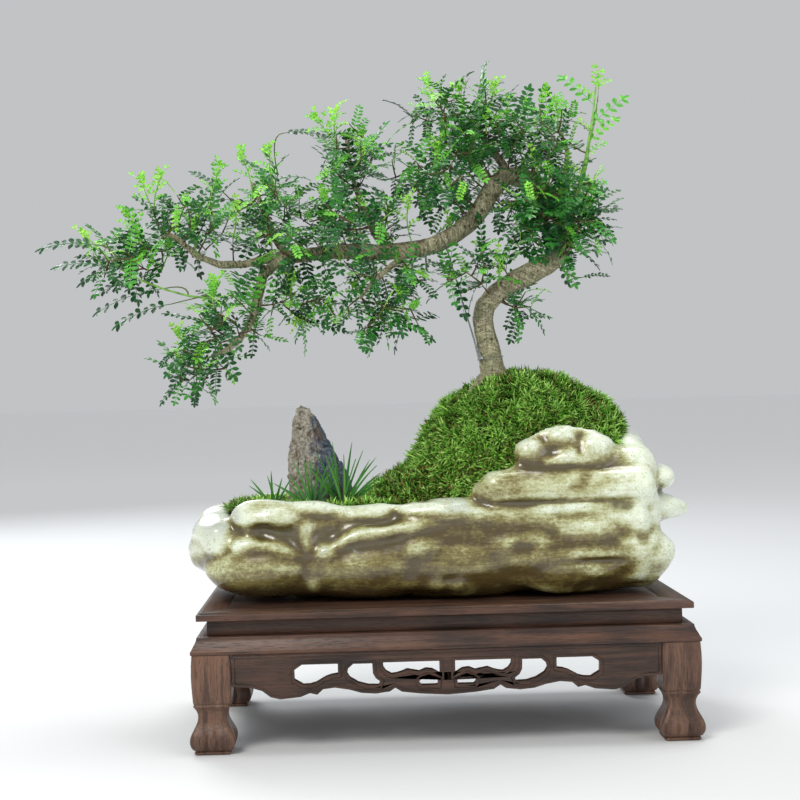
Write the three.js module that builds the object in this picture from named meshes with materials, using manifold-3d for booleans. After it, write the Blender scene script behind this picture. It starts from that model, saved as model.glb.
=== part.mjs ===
// A leaning bonsai tree on a moss mound, in a long glazed rock-shaped pot, on a carved wooden stand.
// Millimetres, +Z up, +X along the stand to the right, +Y towards the back. The pieces are laid out from
// the middle of the stand, and the whole group is moved to its own middle at the end.
import * as THREE from 'three';
import { ConvexGeometry } from 'three/addons/geometries/ConvexGeometry.js';
import { mergeVertices } from 'three/addons/utils/BufferGeometryUtils.js';
import Module from 'manifold-3d';

const wasm = await Module();
wasm.setup();

const seam = 0.3; // clearance left between neighbouring pieces

// Stand, measured over its outside
const boardLength = 420;
const boardDepth = 220;
const boardThickness = 6.9;
const railWidth = 24; // frame of the top board
const boardLip = 1.6; // small step round the top edge
const waistHeight = 12.8;
const waistInset = 8.4; // how far the waist stands back from the board's edge
const waistThickness = 8;
const battenWidth = 26;
const battenHeight = 9;
const battenSpacing = 150;
const mouldingHeight = 14.2;
const mouldingWidth = 26;
const mouldingOverhang = 5; // beyond the board's edge
const legHeight = 83.5;
const legWidth = 33;
const ankleWidth = 24;
const pawWidth = 38;
const toeWidth = 9.4; // between the two grooves of a paw
const toeGroove = 2.4;
const apronThickness = 8;
const apronSetBack = 2; // behind the face of the legs
const apronDrop = 38.5; // at its deepest

// Pot, soil and moss
const potLength = 432;
const potDepth = 168;
const potHeight = 84; // left rim above the stand
const cliffHeight = 151; // high rim at the right, above the stand
const potFloor = 15;
const wallThickness = 27;
const cliffEndThickness = 48; // wall at the right end
const drainRadius = 7;
const screenRadius = 13;
const screenThickness = 1.4;
const mossThickness = 12;
const mossDip = 2; // flat moss under the left rim
const moundHeight = 198; // top of the moss above the stand
const moundLength = 226;
const moundDepth = 128;
const moundCentre = 80;

// Stone, grass and wire
const stoneLength = 62;
const stoneDepth = 38;
const stoneHeight = 101;
const stonePlace = [-103, 49]; // along the pot, and back from the front wall's inside
const grassBladeWidth = 2.6;
const grassBladeThickness = 0.9;
const grassCrownRadius = 5;
const wireRadius = 0.6;

// Tree
const trunkFoot = [54, 0]; // where the trunk leaves the moss
const rootDepth = 30;
const twigRadius = 1.5;
const leafThickness = 0.9;
const leafShape = 0.34; // width of a leaf over its length

const bonsai = new THREE.Group();

// Solids

function solid(geometry) {
  const bare = geometry.clone();
  bare.deleteAttribute('normal');
  bare.deleteAttribute('uv');
  const merged = mergeVertices(bare, 1e-4);
  const corners = Array.from(merged.index.array);
  const faces = [];
  for (let i = 0; i < corners.length; i += 3) {
    const [a, b, c] = corners.slice(i, i + 3);
    if (a !== b && b !== c && c !== a) faces.push(a, b, c);
  }
  return new wasm.Manifold(new wasm.Mesh({
    numProp: 3,
    vertProperties: new Float32Array(merged.attributes.position.array),
    triVerts: new Uint32Array(faces),
  }));
}

function join(solids) {
  return solids.reduce((whole, piece) => whole.add(piece));
}

function cut(whole, cutters) {
  return cutters.reduce((rest, cutter) => rest.subtract(cutter), whole);
}

function addPiece(name, shape, material) {
  const { vertProperties, triVerts } = shape.getMesh();
  const geometry = new THREE.BufferGeometry();
  geometry.setAttribute('position', new THREE.BufferAttribute(new Float32Array(vertProperties), 3));
  geometry.setIndex(Array.from(triVerts));
  const mesh = new THREE.Mesh(geometry, new THREE.MeshStandardMaterial(material));
  mesh.name = name;
  bonsai.add(mesh);
  return shape;
}

function block(from, to) {
  const size = to.map((value, i) => value - from[i]);
  const middle = to.map((value, i) => (value + from[i]) / 2);
  return solid(new THREE.BoxGeometry(...size).translate(...middle));
}

function upright(radius, bottom, top, place, sides) {
  return solid(new THREE.CylinderGeometry(radius, radius, top - bottom, sides)
    .rotateX(Math.PI / 2).translate(place[0], place[1], (top + bottom) / 2));
}

function ellipsoid(centre, radii, around = 14, down = 9) {
  return solid(new THREE.SphereGeometry(1, around, down)
    .rotateX(Math.PI / 2).scale(...radii).translate(...centre));
}

// A flat shape drawn in X and Z, given thickness along +Y
function panel(shape, thickness, curveSegments = 3) {
  return new THREE.ExtrudeGeometry(shape, { depth: thickness, bevelEnabled: false, curveSegments })
    .rotateX(Math.PI / 2).translate(0, thickness, 0);
}

// Stand

const rosewood = { color: 0x4a2a1c, roughness: 0.45 };
const mouldingBottom = legHeight + seam;
const waistBottom = mouldingBottom + mouldingHeight + seam;
const boardBottom = waistBottom + waistHeight + seam;
const standTop = boardBottom + boardThickness;
const halfBoard = [boardLength / 2, boardDepth / 2];
const halfStand = halfBoard.map((half) => half + mouldingOverhang);

// Each side of a mitred frame: front, right, back and left
const sides = [
  { name: 'front', turn: 0, along: 0, out: 1 },
  { name: 'right', turn: Math.PI / 2, along: 1, out: 0 },
  { name: 'back', turn: Math.PI, along: 0, out: 1 },
  { name: 'left', turn: -Math.PI / 2, along: 1, out: 0 },
];

function spin(geometry, side) {
  return geometry.rotateZ(side.turn);
}

// profile: [distance out from the frame's inner line, height] corners, going round
function mitredRail(side, half, width, profile) {
  const length = half[side.along];
  const outer = half[side.out];
  const section = new THREE.Shape(profile.map(([out, up]) => new THREE.Vector2(-(outer - width + out), up)));
  const bar = new THREE.ExtrudeGeometry(section, { depth: 2 * length, bevelEnabled: false })
    .rotateX(Math.PI / 2).rotateZ(Math.PI / 2).translate(-length, 0, 0);
  const plan = new THREE.Shape();
  const end = length - seam / 2;
  const deep = width + 1;
  plan.moveTo(-end, -outer);
  plan.lineTo(end, -outer);
  plan.lineTo(end - deep, deep - outer);
  plan.lineTo(deep - end, deep - outer);
  const wedge = new THREE.ExtrudeGeometry(plan, { depth: standTop, bevelEnabled: false });
  return solid(spin(bar, side)).intersect(solid(spin(wedge, side)));
}

for (const side of sides) {
  const board = mitredRail(side, halfBoard, railWidth, [
    [0, boardBottom], [railWidth, boardBottom], [railWidth, standTop - boardLip],
    [railWidth - boardLip, standTop - boardLip], [railWidth - 2 * boardLip, standTop], [0, standTop],
  ]);
  addPiece(`board_rail_${side.name}`, board, rosewood);

  const waist = mitredRail(side, halfBoard.map((half) => half - waistInset), waistThickness, [
    [0, waistBottom], [waistThickness, waistBottom],
    [waistThickness, waistBottom + waistHeight], [0, waistBottom + waistHeight],
  ]);
  addPiece(`waist_strip_${side.name}`, waist, rosewood);

  const lip = mouldingWidth - mouldingOverhang;
  const rise = mouldingHeight / 10;
  const moulding = mitredRail(side, halfStand, mouldingWidth, [
    [0, mouldingBottom], [mouldingWidth, mouldingBottom], [mouldingWidth, mouldingBottom + 2 * rise],
    [mouldingWidth - 1.2, mouldingBottom + 3.2 * rise], [mouldingWidth - 2.4, mouldingBottom + 5 * rise],
    [lip + 1, mouldingBottom + 7 * rise], [lip, mouldingBottom + 9 * rise],
    [lip, mouldingBottom + mouldingHeight], [0, mouldingBottom + mouldingHeight],
  ]);
  addPiece(`moulding_${side.name}`, moulding, rosewood);
}

const panelHalf = halfBoard.map((half) => half - railWidth - seam);
addPiece('top_panel', block(
  [-panelHalf[0], -panelHalf[1], boardBottom + seam], [panelHalf[0], panelHalf[1], standTop],
), rosewood);

const battenHalf = halfBoard[1] - waistInset - waistThickness - seam;
for (const [name, way] of [['left', -1], ['right', 1]]) {
  const middle = way * battenSpacing / 2;
  addPiece(`batten_${name}`, block(
    [middle - battenWidth / 2, -battenHalf, boardBottom - battenHeight],
    [middle + battenWidth / 2, battenHalf, boardBottom],
  ), rosewood);
}

// Half width of a leg at each height, as shares of the leg's three widths and its height
function legWidths() {
  const [block, ankle, paw] = [legWidth / 2, ankleWidth / 2, pawWidth / 2];
  return [
    [0, 0], [paw * 0.74, 0], [paw * 0.8, 0.04], [paw * 0.97, 0.08], [paw, 0.14], [paw * 0.9, 0.22],
    [ankle * 1.1, 0.31], [ankle, 0.38], [ankle * 1.13, 0.45], [block * 0.93, 0.5],
    [block * 0.96, 0.52], [block, 0.6], [block * 1.03, 0.76], [block * 0.98, 1], [0, 1],
  ];
}

function leg(x, y) {
  const profile = legWidths().map(([half, up]) => new THREE.Vector2(half * Math.SQRT2, up * legHeight));
  const body = solid(new THREE.LatheGeometry(profile, 4)
    .rotateX(Math.PI / 2).rotateZ(Math.PI / 4).translate(x, y, 0));
  const grooves = [];
  for (const step of [-0.5, 0.5]) {
    const face = pawWidth / 2 - 0.6;
    const groove = [toeGroove / 2, 0.04 * legHeight, 0.26 * legHeight];
    grooves.push(upright(...groove, [x + step * toeWidth, y + Math.sign(y) * face], 6));
    grooves.push(upright(...groove, [x + Math.sign(x) * face, y + step * toeWidth], 6));
  }
  return cut(body, grooves);
}

const legCentre = halfStand.map((half) => half - legWidth * 1.03 / 2);
for (const [name, wayX, wayY] of [
  ['front_left', -1, -1], ['front_right', 1, -1], ['back_left', -1, 1], ['back_right', 1, 1],
]) {
  addPiece(`leg_${name}`, leg(wayX * legCentre[0], wayY * legCentre[1]), rosewood);
}

// Openwork, drawn for the right half: across from the middle, and down from the apron's top
const teardrop = (path, way) => {
  path.moveTo(way * 92, -10);
  path.lineTo(way * 122, -10);
  path.bezierCurveTo(way * 132, -10, way * 132, -27, way * 121, -27);
  path.quadraticCurveTo(way * 112, -27.5, way * 106, -23);
  path.quadraticCurveTo(way * 100, -19, way * 92, -18.5);
};
const bell = (path, way) => {
  path.moveTo(way * 63, -10.5);
  path.lineTo(way * 79, -10.5);
  path.quadraticCurveTo(way * 88, -16, way * 82, -22);
  path.quadraticCurveTo(way * 72, -30, way * 58, -29);
  path.lineTo(way * 56.5, -26);
  path.quadraticCurveTo(way * 64, -22, way * 63, -14);
};
const comb = (path, way) => {
  path.moveTo(way * 6.5, -10);
  path.lineTo(way * 54, -10);
  path.quadraticCurveTo(way * 55, -17, way * 47, -20);
  path.quadraticCurveTo(way * 41, -20, way * 34, -16.5);
  path.lineTo(way * 23.5, -18.5);
  path.quadraticCurveTo(way * 16, -13, way * 6.5, -20.5);
};
const eye = (path, way) => {
  path.moveTo(way * 8, -26);
  path.lineTo(way * 8.5, -30);
  path.lineTo(way * 22, -30);
  path.quadraticCurveTo(way * 26, -27, way * 22, -25);
  path.lineTo(way * 16, -23);
};

// Lower edge of an apron: across from the leg's side, and down from the apron's top
const endScallop = [[0, 27], [15, 28], [25, 31], [32, 36.5], [40, 38.5], [57, 37]];
const longScallops = [[65, 34], [71, 35.5], [76, 31], [86, 30], [98, 32], [108, 35], [120, 36],
  [132, 34.5], [136.5, 31.5], [142, 35], [158, 37], [172, 38]];

function apron(halfLength, edge, openings) {
  const outline = new THREE.Shape();
  outline.moveTo(-halfLength, 0);
  edge.forEach(([across, down]) => outline.lineTo(across - halfLength, -down));
  outline.lineTo(0, -apronDrop);
  edge.toReversed().forEach(([across, down]) => outline.lineTo(halfLength - across, -down));
  outline.lineTo(halfLength, 0);
  const cutters = openings.flatMap((draw) => [-1, 1].map((way) => {
    const shape = new THREE.Shape();
    draw(shape, way);
    return solid(panel(shape, apronThickness + 2).translate(0, -1, 0));
  }));
  return cut(solid(panel(outline, apronThickness)), cutters);
}

for (const side of sides) {
  const isLong = side.along === 0;
  const halfLength = legCentre[side.along] - legWidth * 1.03 / 2 - seam;
  const edge = isLong ? endScallop.concat(longScallops) : endScallop;
  const openings = isLong ? [teardrop, bell, comb, eye] : [comb, eye];
  const board = apron(halfLength, edge, openings)
    .translate(0, -halfStand[side.out] + apronSetBack, legHeight)
    .rotate(0, 0, THREE.MathUtils.radToDeg(side.turn));
  addPiece(`apron_${side.name}`, board, rosewood);
}

// Pot: overlapping lobes, placed in shares of half the length, half the depth and the left rim's height

const potBottom = standTop + seam;
const [halfLength, halfDepth] = [potLength / 2, potDepth / 2];
// Each row is [x, y, z, reach in x, y, z]. A lobe on the front wall has a twin on the back wall
const trayLobes = [
  [-0.08, 0, 0.42, 0.9, 0.9, 0.42], [-0.5, 0, 0.5, 0.48, 0.88, 0.44], [0.45, 0, 0.46, 0.5, 0.92, 0.44],
  [-0.16, -0.5, 0.42, 0.36, 0.48, 0.34], [0.16, -0.52, 0.44, 0.36, 0.46, 0.38],
  [0.52, -0.5, 0.46, 0.34, 0.48, 0.42], [-0.76, -0.35, 0.36, 0.24, 0.42, 0.3],
  [-0.66, -0.6, 0.76, 0.23, 0.3, 0.25], [-0.52, -0.72, 0.6, 0.07, 0.26, 0.32],
  [-0.29, -0.66, 0.78, 0.2, 0.3, 0.23], [0, -0.66, 0.84, 0.18, 0.3, 0.24],
  [-0.88, 0, 0.72, 0.13, 0.62, 0.24], [-0.92, -0.05, 0.46, 0.12, 0.45, 0.17],
];
// The cliff round the right end, with heights in shares of its own height
const cliffLobes = [
  [0.4, -0.62, 0.56, 0.28, 0.34, 0.22], [0.58, -0.58, 0.78, 0.26, 0.3, 0.22],
  [0.38, -0.62, 0.84, 0.07, 0.18, 0.1], [0.72, -0.56, 0.83, 0.09, 0.2, 0.12],
  [0.72, -0.62, 0.56, 0.16, 0.34, 0.2], [0.84, 0, 0.62, 0.14, 0.72, 0.22],
  [0.92, -0.05, 0.68, 0.08, 0.5, 0.05], [0.93, 0, 0.46, 0.12, 0.46, 0.06],
  [0.86, 0, 0.24, 0.12, 0.6, 0.14], [0.8, 0, 0.34, 0.17, 0.76, 0.22],
];

function withTwins(rows) {
  return rows.flatMap((row) => (row[1] < -0.3 ? [row, [row[0], -row[1], ...row.slice(2)]] : [row]));
}

function lobe([x, y, z, reachX, reachY, reachZ], height) {
  return ellipsoid(
    [x * halfLength, y * halfDepth, potBottom + z * height],
    [reachX * halfLength, reachY * halfDepth, reachZ * height],
    10, 6,
  );
}

// Outline of the planting hollow, in from the pot's outside by the wall and a given clearance
function hollow(clearance, bottom, top) {
  const left = wallThickness + clearance - halfLength;
  const right = halfLength - cliffEndThickness - clearance;
  const reach = halfDepth - wallThickness - clearance;
  const round = reach * 0.8;
  const plan = new THREE.Shape();
  plan.moveTo(left + round, -reach);
  plan.lineTo(right - round, -reach);
  plan.quadraticCurveTo(right, -reach, right, 0);
  plan.quadraticCurveTo(right, reach, right - round, reach);
  plan.lineTo(left + round, reach);
  plan.quadraticCurveTo(left, reach, left, 0);
  plan.quadraticCurveTo(left, -reach, left + round, -reach);
  return solid(new THREE.ExtrudeGeometry(plan, { depth: top - bottom, bevelEnabled: false, curveSegments: 4 })
    .translate(0, 0, bottom));
}

const floorTop = potBottom + potFloor;
const aboveAll = potBottom + moundHeight + potHeight;
const drainPlace = [moundCentre, 0];
const potFoot = block(
  [-0.66 * halfLength, -0.36 * halfDepth, potBottom], [0.7 * halfLength, 0.36 * halfDepth, floorTop],
);
const potOutside = join([potFoot, ...withTwins(trayLobes).map((row) => lobe(row, potHeight)),
  ...withTwins(cliffLobes).map((row) => lobe(row, cliffHeight))]);
const aboveStand = block([-potLength, -potDepth, potBottom], [potLength, potDepth, aboveAll]);
const pot = cut(potOutside.intersect(aboveStand), [
  hollow(0, floorTop, aboveAll),
  upright(drainRadius, potBottom - 1, floorTop + 1, drainPlace, 12),
]);
addPiece('pot', pot, { color: 0xa9a47c, roughness: 0.22 });

const screen = (clearance) => upright(screenRadius + clearance, floorTop + seam - clearance,
  floorTop + seam + screenThickness + clearance, drainPlace, 12);
addPiece('drain_screen', screen(0), { color: 0x1c1c1c, roughness: 0.6 });

// Tree: each limb runs through its points with a radius at each one

const mossTop = potBottom + moundHeight;
const limbs = {};

function growLimb(name, points, radii, sides, steps) {
  const route = points.map(([x, y, z]) => new THREE.Vector3(x, y, z));
  limbs[name] = { curve: new THREE.CatmullRomCurve3(route), radii, sides, steps };
}

function radiusAt({ curve, radii }, share) {
  const place = curve.getUtoTmapping(share) * (radii.length - 1);
  const before = Math.min(Math.floor(place), radii.length - 2);
  return THREE.MathUtils.lerp(radii[before], radii[before + 1], place - before);
}

// A closed cylinder bent along a limb's curve
function limbSolid(limb, clearance = 0) {
  const geometry = new THREE.CylinderGeometry(1, 1, 1, limb.sides, limb.steps);
  const frames = limb.curve.computeFrenetFrames(limb.steps);
  const position = geometry.attributes.position;
  for (let i = 0; i < position.count; i++) {
    const corner = new THREE.Vector3().fromBufferAttribute(position, i);
    const step = Math.round((corner.y + 0.5) * limb.steps);
    const radius = radiusAt(limb, step / limb.steps) + clearance;
    const end = (step === 0 ? -1 : step === limb.steps ? 1 : 0) * clearance;
    const moved = limb.curve.getPointAt(step / limb.steps)
      .addScaledVector(frames.tangents[step], end)
      .addScaledVector(frames.normals[step], corner.x * radius)
      .addScaledVector(frames.binormals[step], -corner.z * radius);
    position.setXYZ(i, moved.x, moved.y, moved.z);
  }
  return solid(geometry);
}

// A point of a limb's centre line, measured from the trunk's foot
function from(name, share) {
  const point = limbs[name].curve.getPointAt(share);
  return [point.x - trunkFoot[0], point.y - trunkFoot[1], point.z - mossTop];
}

function grow(name, points, radii, sides = 7, steps = 8) {
  growLimb(name, points.map(([x, y, z]) => [x + trunkFoot[0], y + trunkFoot[1], z + mossTop]), radii, sides, steps);
}

grow('trunk', [
  [4, 1, -rootDepth], [0, 0, 0], [-3, 0, 21], [-8, -2, 46], [-5, -4, 61], [14, -6, 77], [36, -6, 89],
  [54, -4, 98], [67, 2, 112], [71, 6, 131], [62, 7, 151], [47, 4, 168], [31, -1, 177], [17, -5, 178],
  [5, -8, 168], [-8, -8, 147], [-21, -8, 133], [-38, -6, 122], [-56, -5, 115], [-89, -4, 111],
  [-121, -4, 112], [-152, -6, 111], [-174, -9, 108],
], [15, 11.8, 10.4, 9.4, 9.6, 9.8, 9.8, 9.8, 9.6, 9.2, 9.2, 9.2, 9.2, 9.4, 9, 8.8, 8.8, 8.6, 8.2, 7.6,
  7.2, 6.6, 6.2], 8, 44);
grow('lower_limb', [
  from('trunk', 0.985), [-192, -12, 103], [-206, -14, 92], [-212, -16, 68], [-224, -18, 39], [-240, -20, 25],
  [-254, -20, 19],
], [6, 5.4, 5, 4.4, 3.8, 3.2, 2.6], 6, 9);
grow('far_limb', [
  from('trunk', 0.97), [-196, -2, 108], [-226, 4, 103], [-258, 6, 106], [-280, 4, 124], [-302, 2, 138],
], [5.4, 4.8, 4.2, 3.6, 3, 2.4], 6, 7);
grow('left_crown', [
  from('lower_limb', 0.12), [-196, 12, 128], [-206, 20, 152], [-216, 22, 180],
], [4.8, 3.8, 3.2, 2.4], 5, 4);
grow('middle_crown', [
  from('trunk', 0.84), [-104, 14, 130], [-116, 20, 158], [-126, 18, 196], [-128, 14, 222],
], [5, 4, 3.4, 2.8, 2.2], 5, 6);
grow('low_front', [
  from('trunk', 0.8), [-88, -26, 98], [-106, -38, 84], [-120, -42, 66],
], [4.6, 3.6, 2.8, 2.2], 5, 4);
grow('top_crown', [
  from('trunk', 0.56), [10, 10, 198], [-6, 16, 222], [-14, 14, 246],
], [5.6, 4.2, 3.2, 2.4], 5, 4);
grow('right_crown', [
  from('trunk', 0.44), [70, 22, 168], [78, 28, 198], [70, 26, 224],
], [5, 4, 3, 2.4], 5, 4);
grow('tall_shoot', [
  from('trunk', 0.32), [71, -8, 118], [74, -12, 146], [84, -12, 172], [92, -10, 204], [99, -8, 232], [103, -6, 262],
], [3.6, 2.6, 2.2, 2, 1.8, 1.5, 1], 5, 9);
for (const [i, [x, y]] of [[-24, -14], [26, -10], [2, 26]].entries()) {
  grow(`root_${i}`, [
    [0, 0, -4], [x * 0.5, y * 0.5, -8], [x, y, -rootDepth + 6], [x * 1.3, y * 1.3, -rootDepth - 4],
  ], [9, 5.5, 3.6, 2], 6, 4);
}

const woody = (clearance) => join(Object.values(limbs).map((limb) => limbSolid(limb, clearance)));
const trunk = addPiece('trunk_and_branches', woody(0), { color: 0x8a7a62, roughness: 0.85 });
const trunkSpace = woody(seam);

// Stone: a hull through chosen corners, in shares of its three sizes, standing on the flat soil

const mossFlat = potBottom + potHeight - mossDip;
const soilFlat = mossFlat - mossThickness;
const stoneCorners = [
  [-0.5, -0.3, 0], [-0.34, -0.5, 0], [0.3, -0.46, 0], [0.5, -0.1, 0], [0.4, 0.4, 0], [-0.1, 0.5, 0], [-0.48, 0.3, 0],
  [-0.44, -0.36, 0.42], [-0.26, -0.42, 0.66], [-0.28, -0.2, 0.92], [-0.2, 0.02, 1], [-0.04, -0.1, 0.95],
  [0.1, -0.34, 0.72], [0.24, -0.3, 0.56], [0.46, -0.16, 0.3], [0.3, 0.3, 0.5], [-0.16, 0.3, 0.8], [-0.46, 0.16, 0.5],
];

// A place in the planting hollow, given along the pot and back from the front wall's inside
function inHollow([along, back]) {
  return [along, wallThickness - halfDepth + back];
}

function stone(clearance) {
  const size = [stoneLength, stoneDepth, stoneHeight];
  const place = inHollow(stonePlace);
  const corners = stoneCorners.map(([x, y, z]) => new THREE.Vector3(
    place[0] + x * (size[0] + 2 * clearance),
    place[1] + y * (size[1] + 2 * clearance),
    soilFlat + seam + z * (size[2] + 2 * clearance) - clearance,
  ));
  return solid(new ConvexGeometry(corners));
}
addPiece('accent_stone', stone(0), { color: 0x77757c, roughness: 0.8 });

// Grass: flat curved blades fanned out of a short crown that stands on the soil

function grassBlade(length, lean, turn, width) {
  const tip = new THREE.Vector2(Math.sin(lean), Math.cos(lean)).multiplyScalar(length);
  const bow = new THREE.Vector2(Math.sin(lean * 0.4), Math.cos(lean * 0.4)).multiplyScalar(length * 0.55);
  const side = new THREE.Vector2(Math.cos(lean), -Math.sin(lean)).multiplyScalar(width / 2);
  const [left, right] = [bow.clone().sub(side), bow.clone().add(side)];
  const blade = new THREE.Shape();
  blade.moveTo(-width / 2, -1);
  blade.quadraticCurveTo(left.x, left.y, tip.x, tip.y);
  blade.quadraticCurveTo(right.x, right.y, width / 2, -1);
  return panel(blade, grassBladeThickness).translate(0, -grassBladeThickness / 2, 0).rotateZ(turn);
}

function grassTuft(place, blades) {
  const crownTop = mossFlat + 2;
  const parts = [upright(grassCrownRadius, soilFlat + seam, crownTop, place, 8)];
  for (const [length, lean, turn] of blades) {
    const outward = [Math.cos(turn) * Math.sign(lean) * 2.6, Math.sin(turn) * Math.sign(lean) * 2.6];
    parts.push(solid(grassBlade(length, lean, turn, grassBladeWidth)
      .translate(place[0] + outward[0], place[1] + outward[1], crownTop)));
  }
  return join(parts);
}

const tufts = {
  grass_tuft_left: {
    place: inHollow([-146, 23]),
    blades: [[30, -0.9, 0.3], [34, -0.35, 0.1], [27, 0.3, -0.3], [30, 0.8, 0.2], [24, -0.6, -0.7]],
  },
  grass_tuft_middle: {
    place: inHollow([-112, 13]),
    blades: [[44, -0.7, 0.2], [40, -0.15, 0.6], [46, 0.2, 0.1], [36, 0.6, -0.2], [30, 1, 0.15], [30, -1.1, -0.2]],
  },
  grass_tuft_right: {
    place: inHollow([-86, 17]),
    blades: [[50, -0.3, 0.5], [54, 0.25, 0.3], [46, 0.55, 0.1], [40, 0.85, -0.1], [34, -0.7, -0.3], [30, 1.2, 0.2]],
  },
};
for (const [name, { place, blades }] of Object.entries(tufts)) {
  addPiece(name, grassTuft(place, blades), { color: 0x3c7a2a, roughness: 0.5 });
}

// Soil under a moss cover; both fill the hollow and rise into one mound

function mound(shrink) {
  const rise = mossFlat - 20;
  return join([
    ellipsoid([moundCentre, 0, rise], [moundLength / 2 - shrink, moundDepth / 2 - shrink, mossTop - rise - shrink], 16, 10),
    ellipsoid([moundCentre + 50, 0, rise], [moundLength * 0.3 - shrink, moundDepth * 0.5 - shrink,
      (mossTop - rise) * 0.86 - shrink], 12, 8),
    ellipsoid([moundCentre - 86, 6, rise], [moundLength * 0.3 - shrink, moundDepth * 0.45 - shrink,
      (mossTop - rise) * 0.38 - shrink], 12, 8),
  ]);
}

function filling(shrink, flat, clearance, bottom) {
  return join([hollow(clearance, bottom, flat), mound(shrink)])
    .intersect(hollow(clearance, bottom, aboveAll));
}

const soil = cut(filling(mossThickness, soilFlat, seam, floorTop + seam), [screen(seam), trunkSpace]);
addPiece('soil', soil, { color: 0x3b2a1c, roughness: 0.95 });

const tuftSpaces = Object.values(tufts)
  .map(({ place }) => upright(grassCrownRadius + seam, soilFlat - 1, aboveAll, place, 8));
const underMoss = filling(mossThickness - seam, soilFlat + seam, 0, floorTop);
const moss = cut(filling(0, mossFlat, seam, soilFlat - mossThickness),
  [underMoss, trunkSpace, stone(seam), ...tuftSpaces]);
const largest = moss.decompose().sort((one, other) => other.volume() - one.volume())[0];
addPiece('moss_cover', largest, { color: 0x5c8a1e, roughness: 0.95 });

// Guy wire: a loop round the branch and a loop round the trunk, with a straight run between

function wireLoop(limb, share) {
  const radius = radiusAt(limb, share) + wireRadius + 2 * seam;
  const ring = new THREE.TorusGeometry(radius, wireRadius, 4, 12);
  const turn = new THREE.Quaternion()
    .setFromUnitVectors(new THREE.Vector3(0, 0, 1), limb.curve.getTangentAt(share));
  const centre = limb.curve.getPointAt(share);
  const side = new THREE.Vector3(-1, -0.6, 0).applyQuaternion(turn).setLength(radius);
  return { solid: solid(ring.applyQuaternion(turn).translate(...centre)), anchor: centre.clone().add(side) };
}

const upperLoop = wireLoop(limbs.trunk, 0.735);
const lowerLoop = wireLoop(limbs.trunk, 0.085);
const wireRun = { curve: new THREE.LineCurve3(lowerLoop.anchor, upperLoop.anchor),
  radii: [wireRadius, wireRadius], sides: 5, steps: 1 };
const wire = addPiece('guy_wire', join([upperLoop.solid, lowerLoop.solid, limbSolid(wireRun)]),
  { color: 0x8d8f8c, roughness: 0.4, metalness: 1 });

// Leaf sprays: a twig off a limb, with blades set round it wherever they clear what is already there

const sprays = [
  // limb, place along it, tip from the trunk's foot, leaves, leaf length
  ['tall_shoot', 0.55, [134, -8, 236], 5, 34], ['tall_shoot', 0.82, [120, -14, 262], 4, 30],
  ['tall_shoot', 0.3, [118, -22, 160], 6, 38], ['trunk', 0.34, [112, 8, 118], 6, 38],
  ['right_crown', 0.95, [62, 22, 262], 6, 40], ['right_crown', 0.7, [110, 36, 206], 6, 38],
  ['top_crown', 0.95, [-22, 12, 270], 6, 40], ['top_crown', 0.8, [24, 4, 262], 6, 38],
  ['top_crown', 0.6, [-44, 24, 240], 6, 40], ['top_crown', 0.4, [-48, 2, 206], 6, 40],
  ['trunk', 0.66, [-18, -42, 168], 6, 38], ['trunk', 0.78, [-68, -10, 168], 6, 38],
  ['trunk', 0.72, [-22, -34, 92], 6, 38], ['middle_crown', 0.95, [-136, 12, 248], 6, 40],
  ['middle_crown', 0.7, [-94, 2, 214], 6, 40], ['middle_crown', 0.5, [-156, 26, 200], 6, 40],
  ['low_front', 0.95, [-130, -52, 42], 6, 38], ['trunk', 0.93, [-150, -34, 158], 6, 40],
  ['left_crown', 0.95, [-222, 20, 214], 6, 38], ['left_crown', 0.7, [-184, 18, 206], 6, 38],
  ['left_crown', 0.4, [-236, 36, 168], 6, 40], ['far_limb', 0.97, [-322, 0, 184], 6, 38],
  ['far_limb', 0.8, [-366, -6, 134], 7, 40], ['far_limb', 0.5, [-330, 12, 92], 7, 40],
  ['lower_limb', 0.97, [-262, -24, -8], 6, 34], ['lower_limb', 0.8, [-286, -14, 50], 6, 38],
];

function leafBlade(length) {
  const half = length * leafShape / 2;
  const outline = new THREE.Shape();
  outline.moveTo(0, 0);
  outline.lineTo(length * 0.55, -half);
  outline.lineTo(length, 0);
  outline.lineTo(length * 0.55, half);
  return new THREE.ExtrudeGeometry(outline, { depth: leafThickness, bevelEnabled: false })
    .translate(0, 0, -leafThickness / 2);
}

function spray([limbName, place, tip, leafCount, leafLength], taken) {
  const limb = limbs[limbName];
  const centre = limb.curve.getPointAt(place);
  const end = new THREE.Vector3(tip[0] + trunkFoot[0], tip[1] + trunkFoot[1], tip[2] + mossTop);
  const reach = end.clone().sub(centre);
  const bow = centre.clone().lerp(end, 0.5).add(new THREE.Vector3(0, 0, -0.08 * reach.length()));
  const twig = { curve: new THREE.QuadraticBezierCurve3(centre, bow, end),
    radii: [twigRadius, twigRadius * 0.55], sides: 4, steps: 3 };
  const parts = [limbSolid(twig).subtract(trunkSpace)];
  let turn = place * 10;
  for (let i = 0; i < leafCount; i++) {
    const share = 0.3 + 0.7 * (i + 1) / leafCount;
    const onTwig = twig.curve.getPointAt(share);
    const ahead = twig.curve.getTangentAt(share);
    turn += 2.4;
    const last = i === leafCount - 1;
    const out = new THREE.Vector3(Math.cos(turn), Math.sin(turn) * 0.8, 0.15)
      .multiplyScalar(last ? 0.25 : 1).addScaledVector(ahead, 0.55).normalize();
    const flat = new THREE.Vector3(0, 0, 1).addScaledVector(out, -out.z).normalize();
    const across = new THREE.Vector3().crossVectors(flat, out);
    const pose = new THREE.Matrix4().makeBasis(out, across, flat).setPosition(onTwig);
    const blade = solid(leafBlade(leafLength * (1 - 0.25 * share)).applyMatrix4(pose));
    if (taken.intersect(blade).volume() < 1e-6) parts.push(blade);
  }
  return join(parts).decompose().sort((one, other) => other.volume() - one.volume())[0];
}

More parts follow.
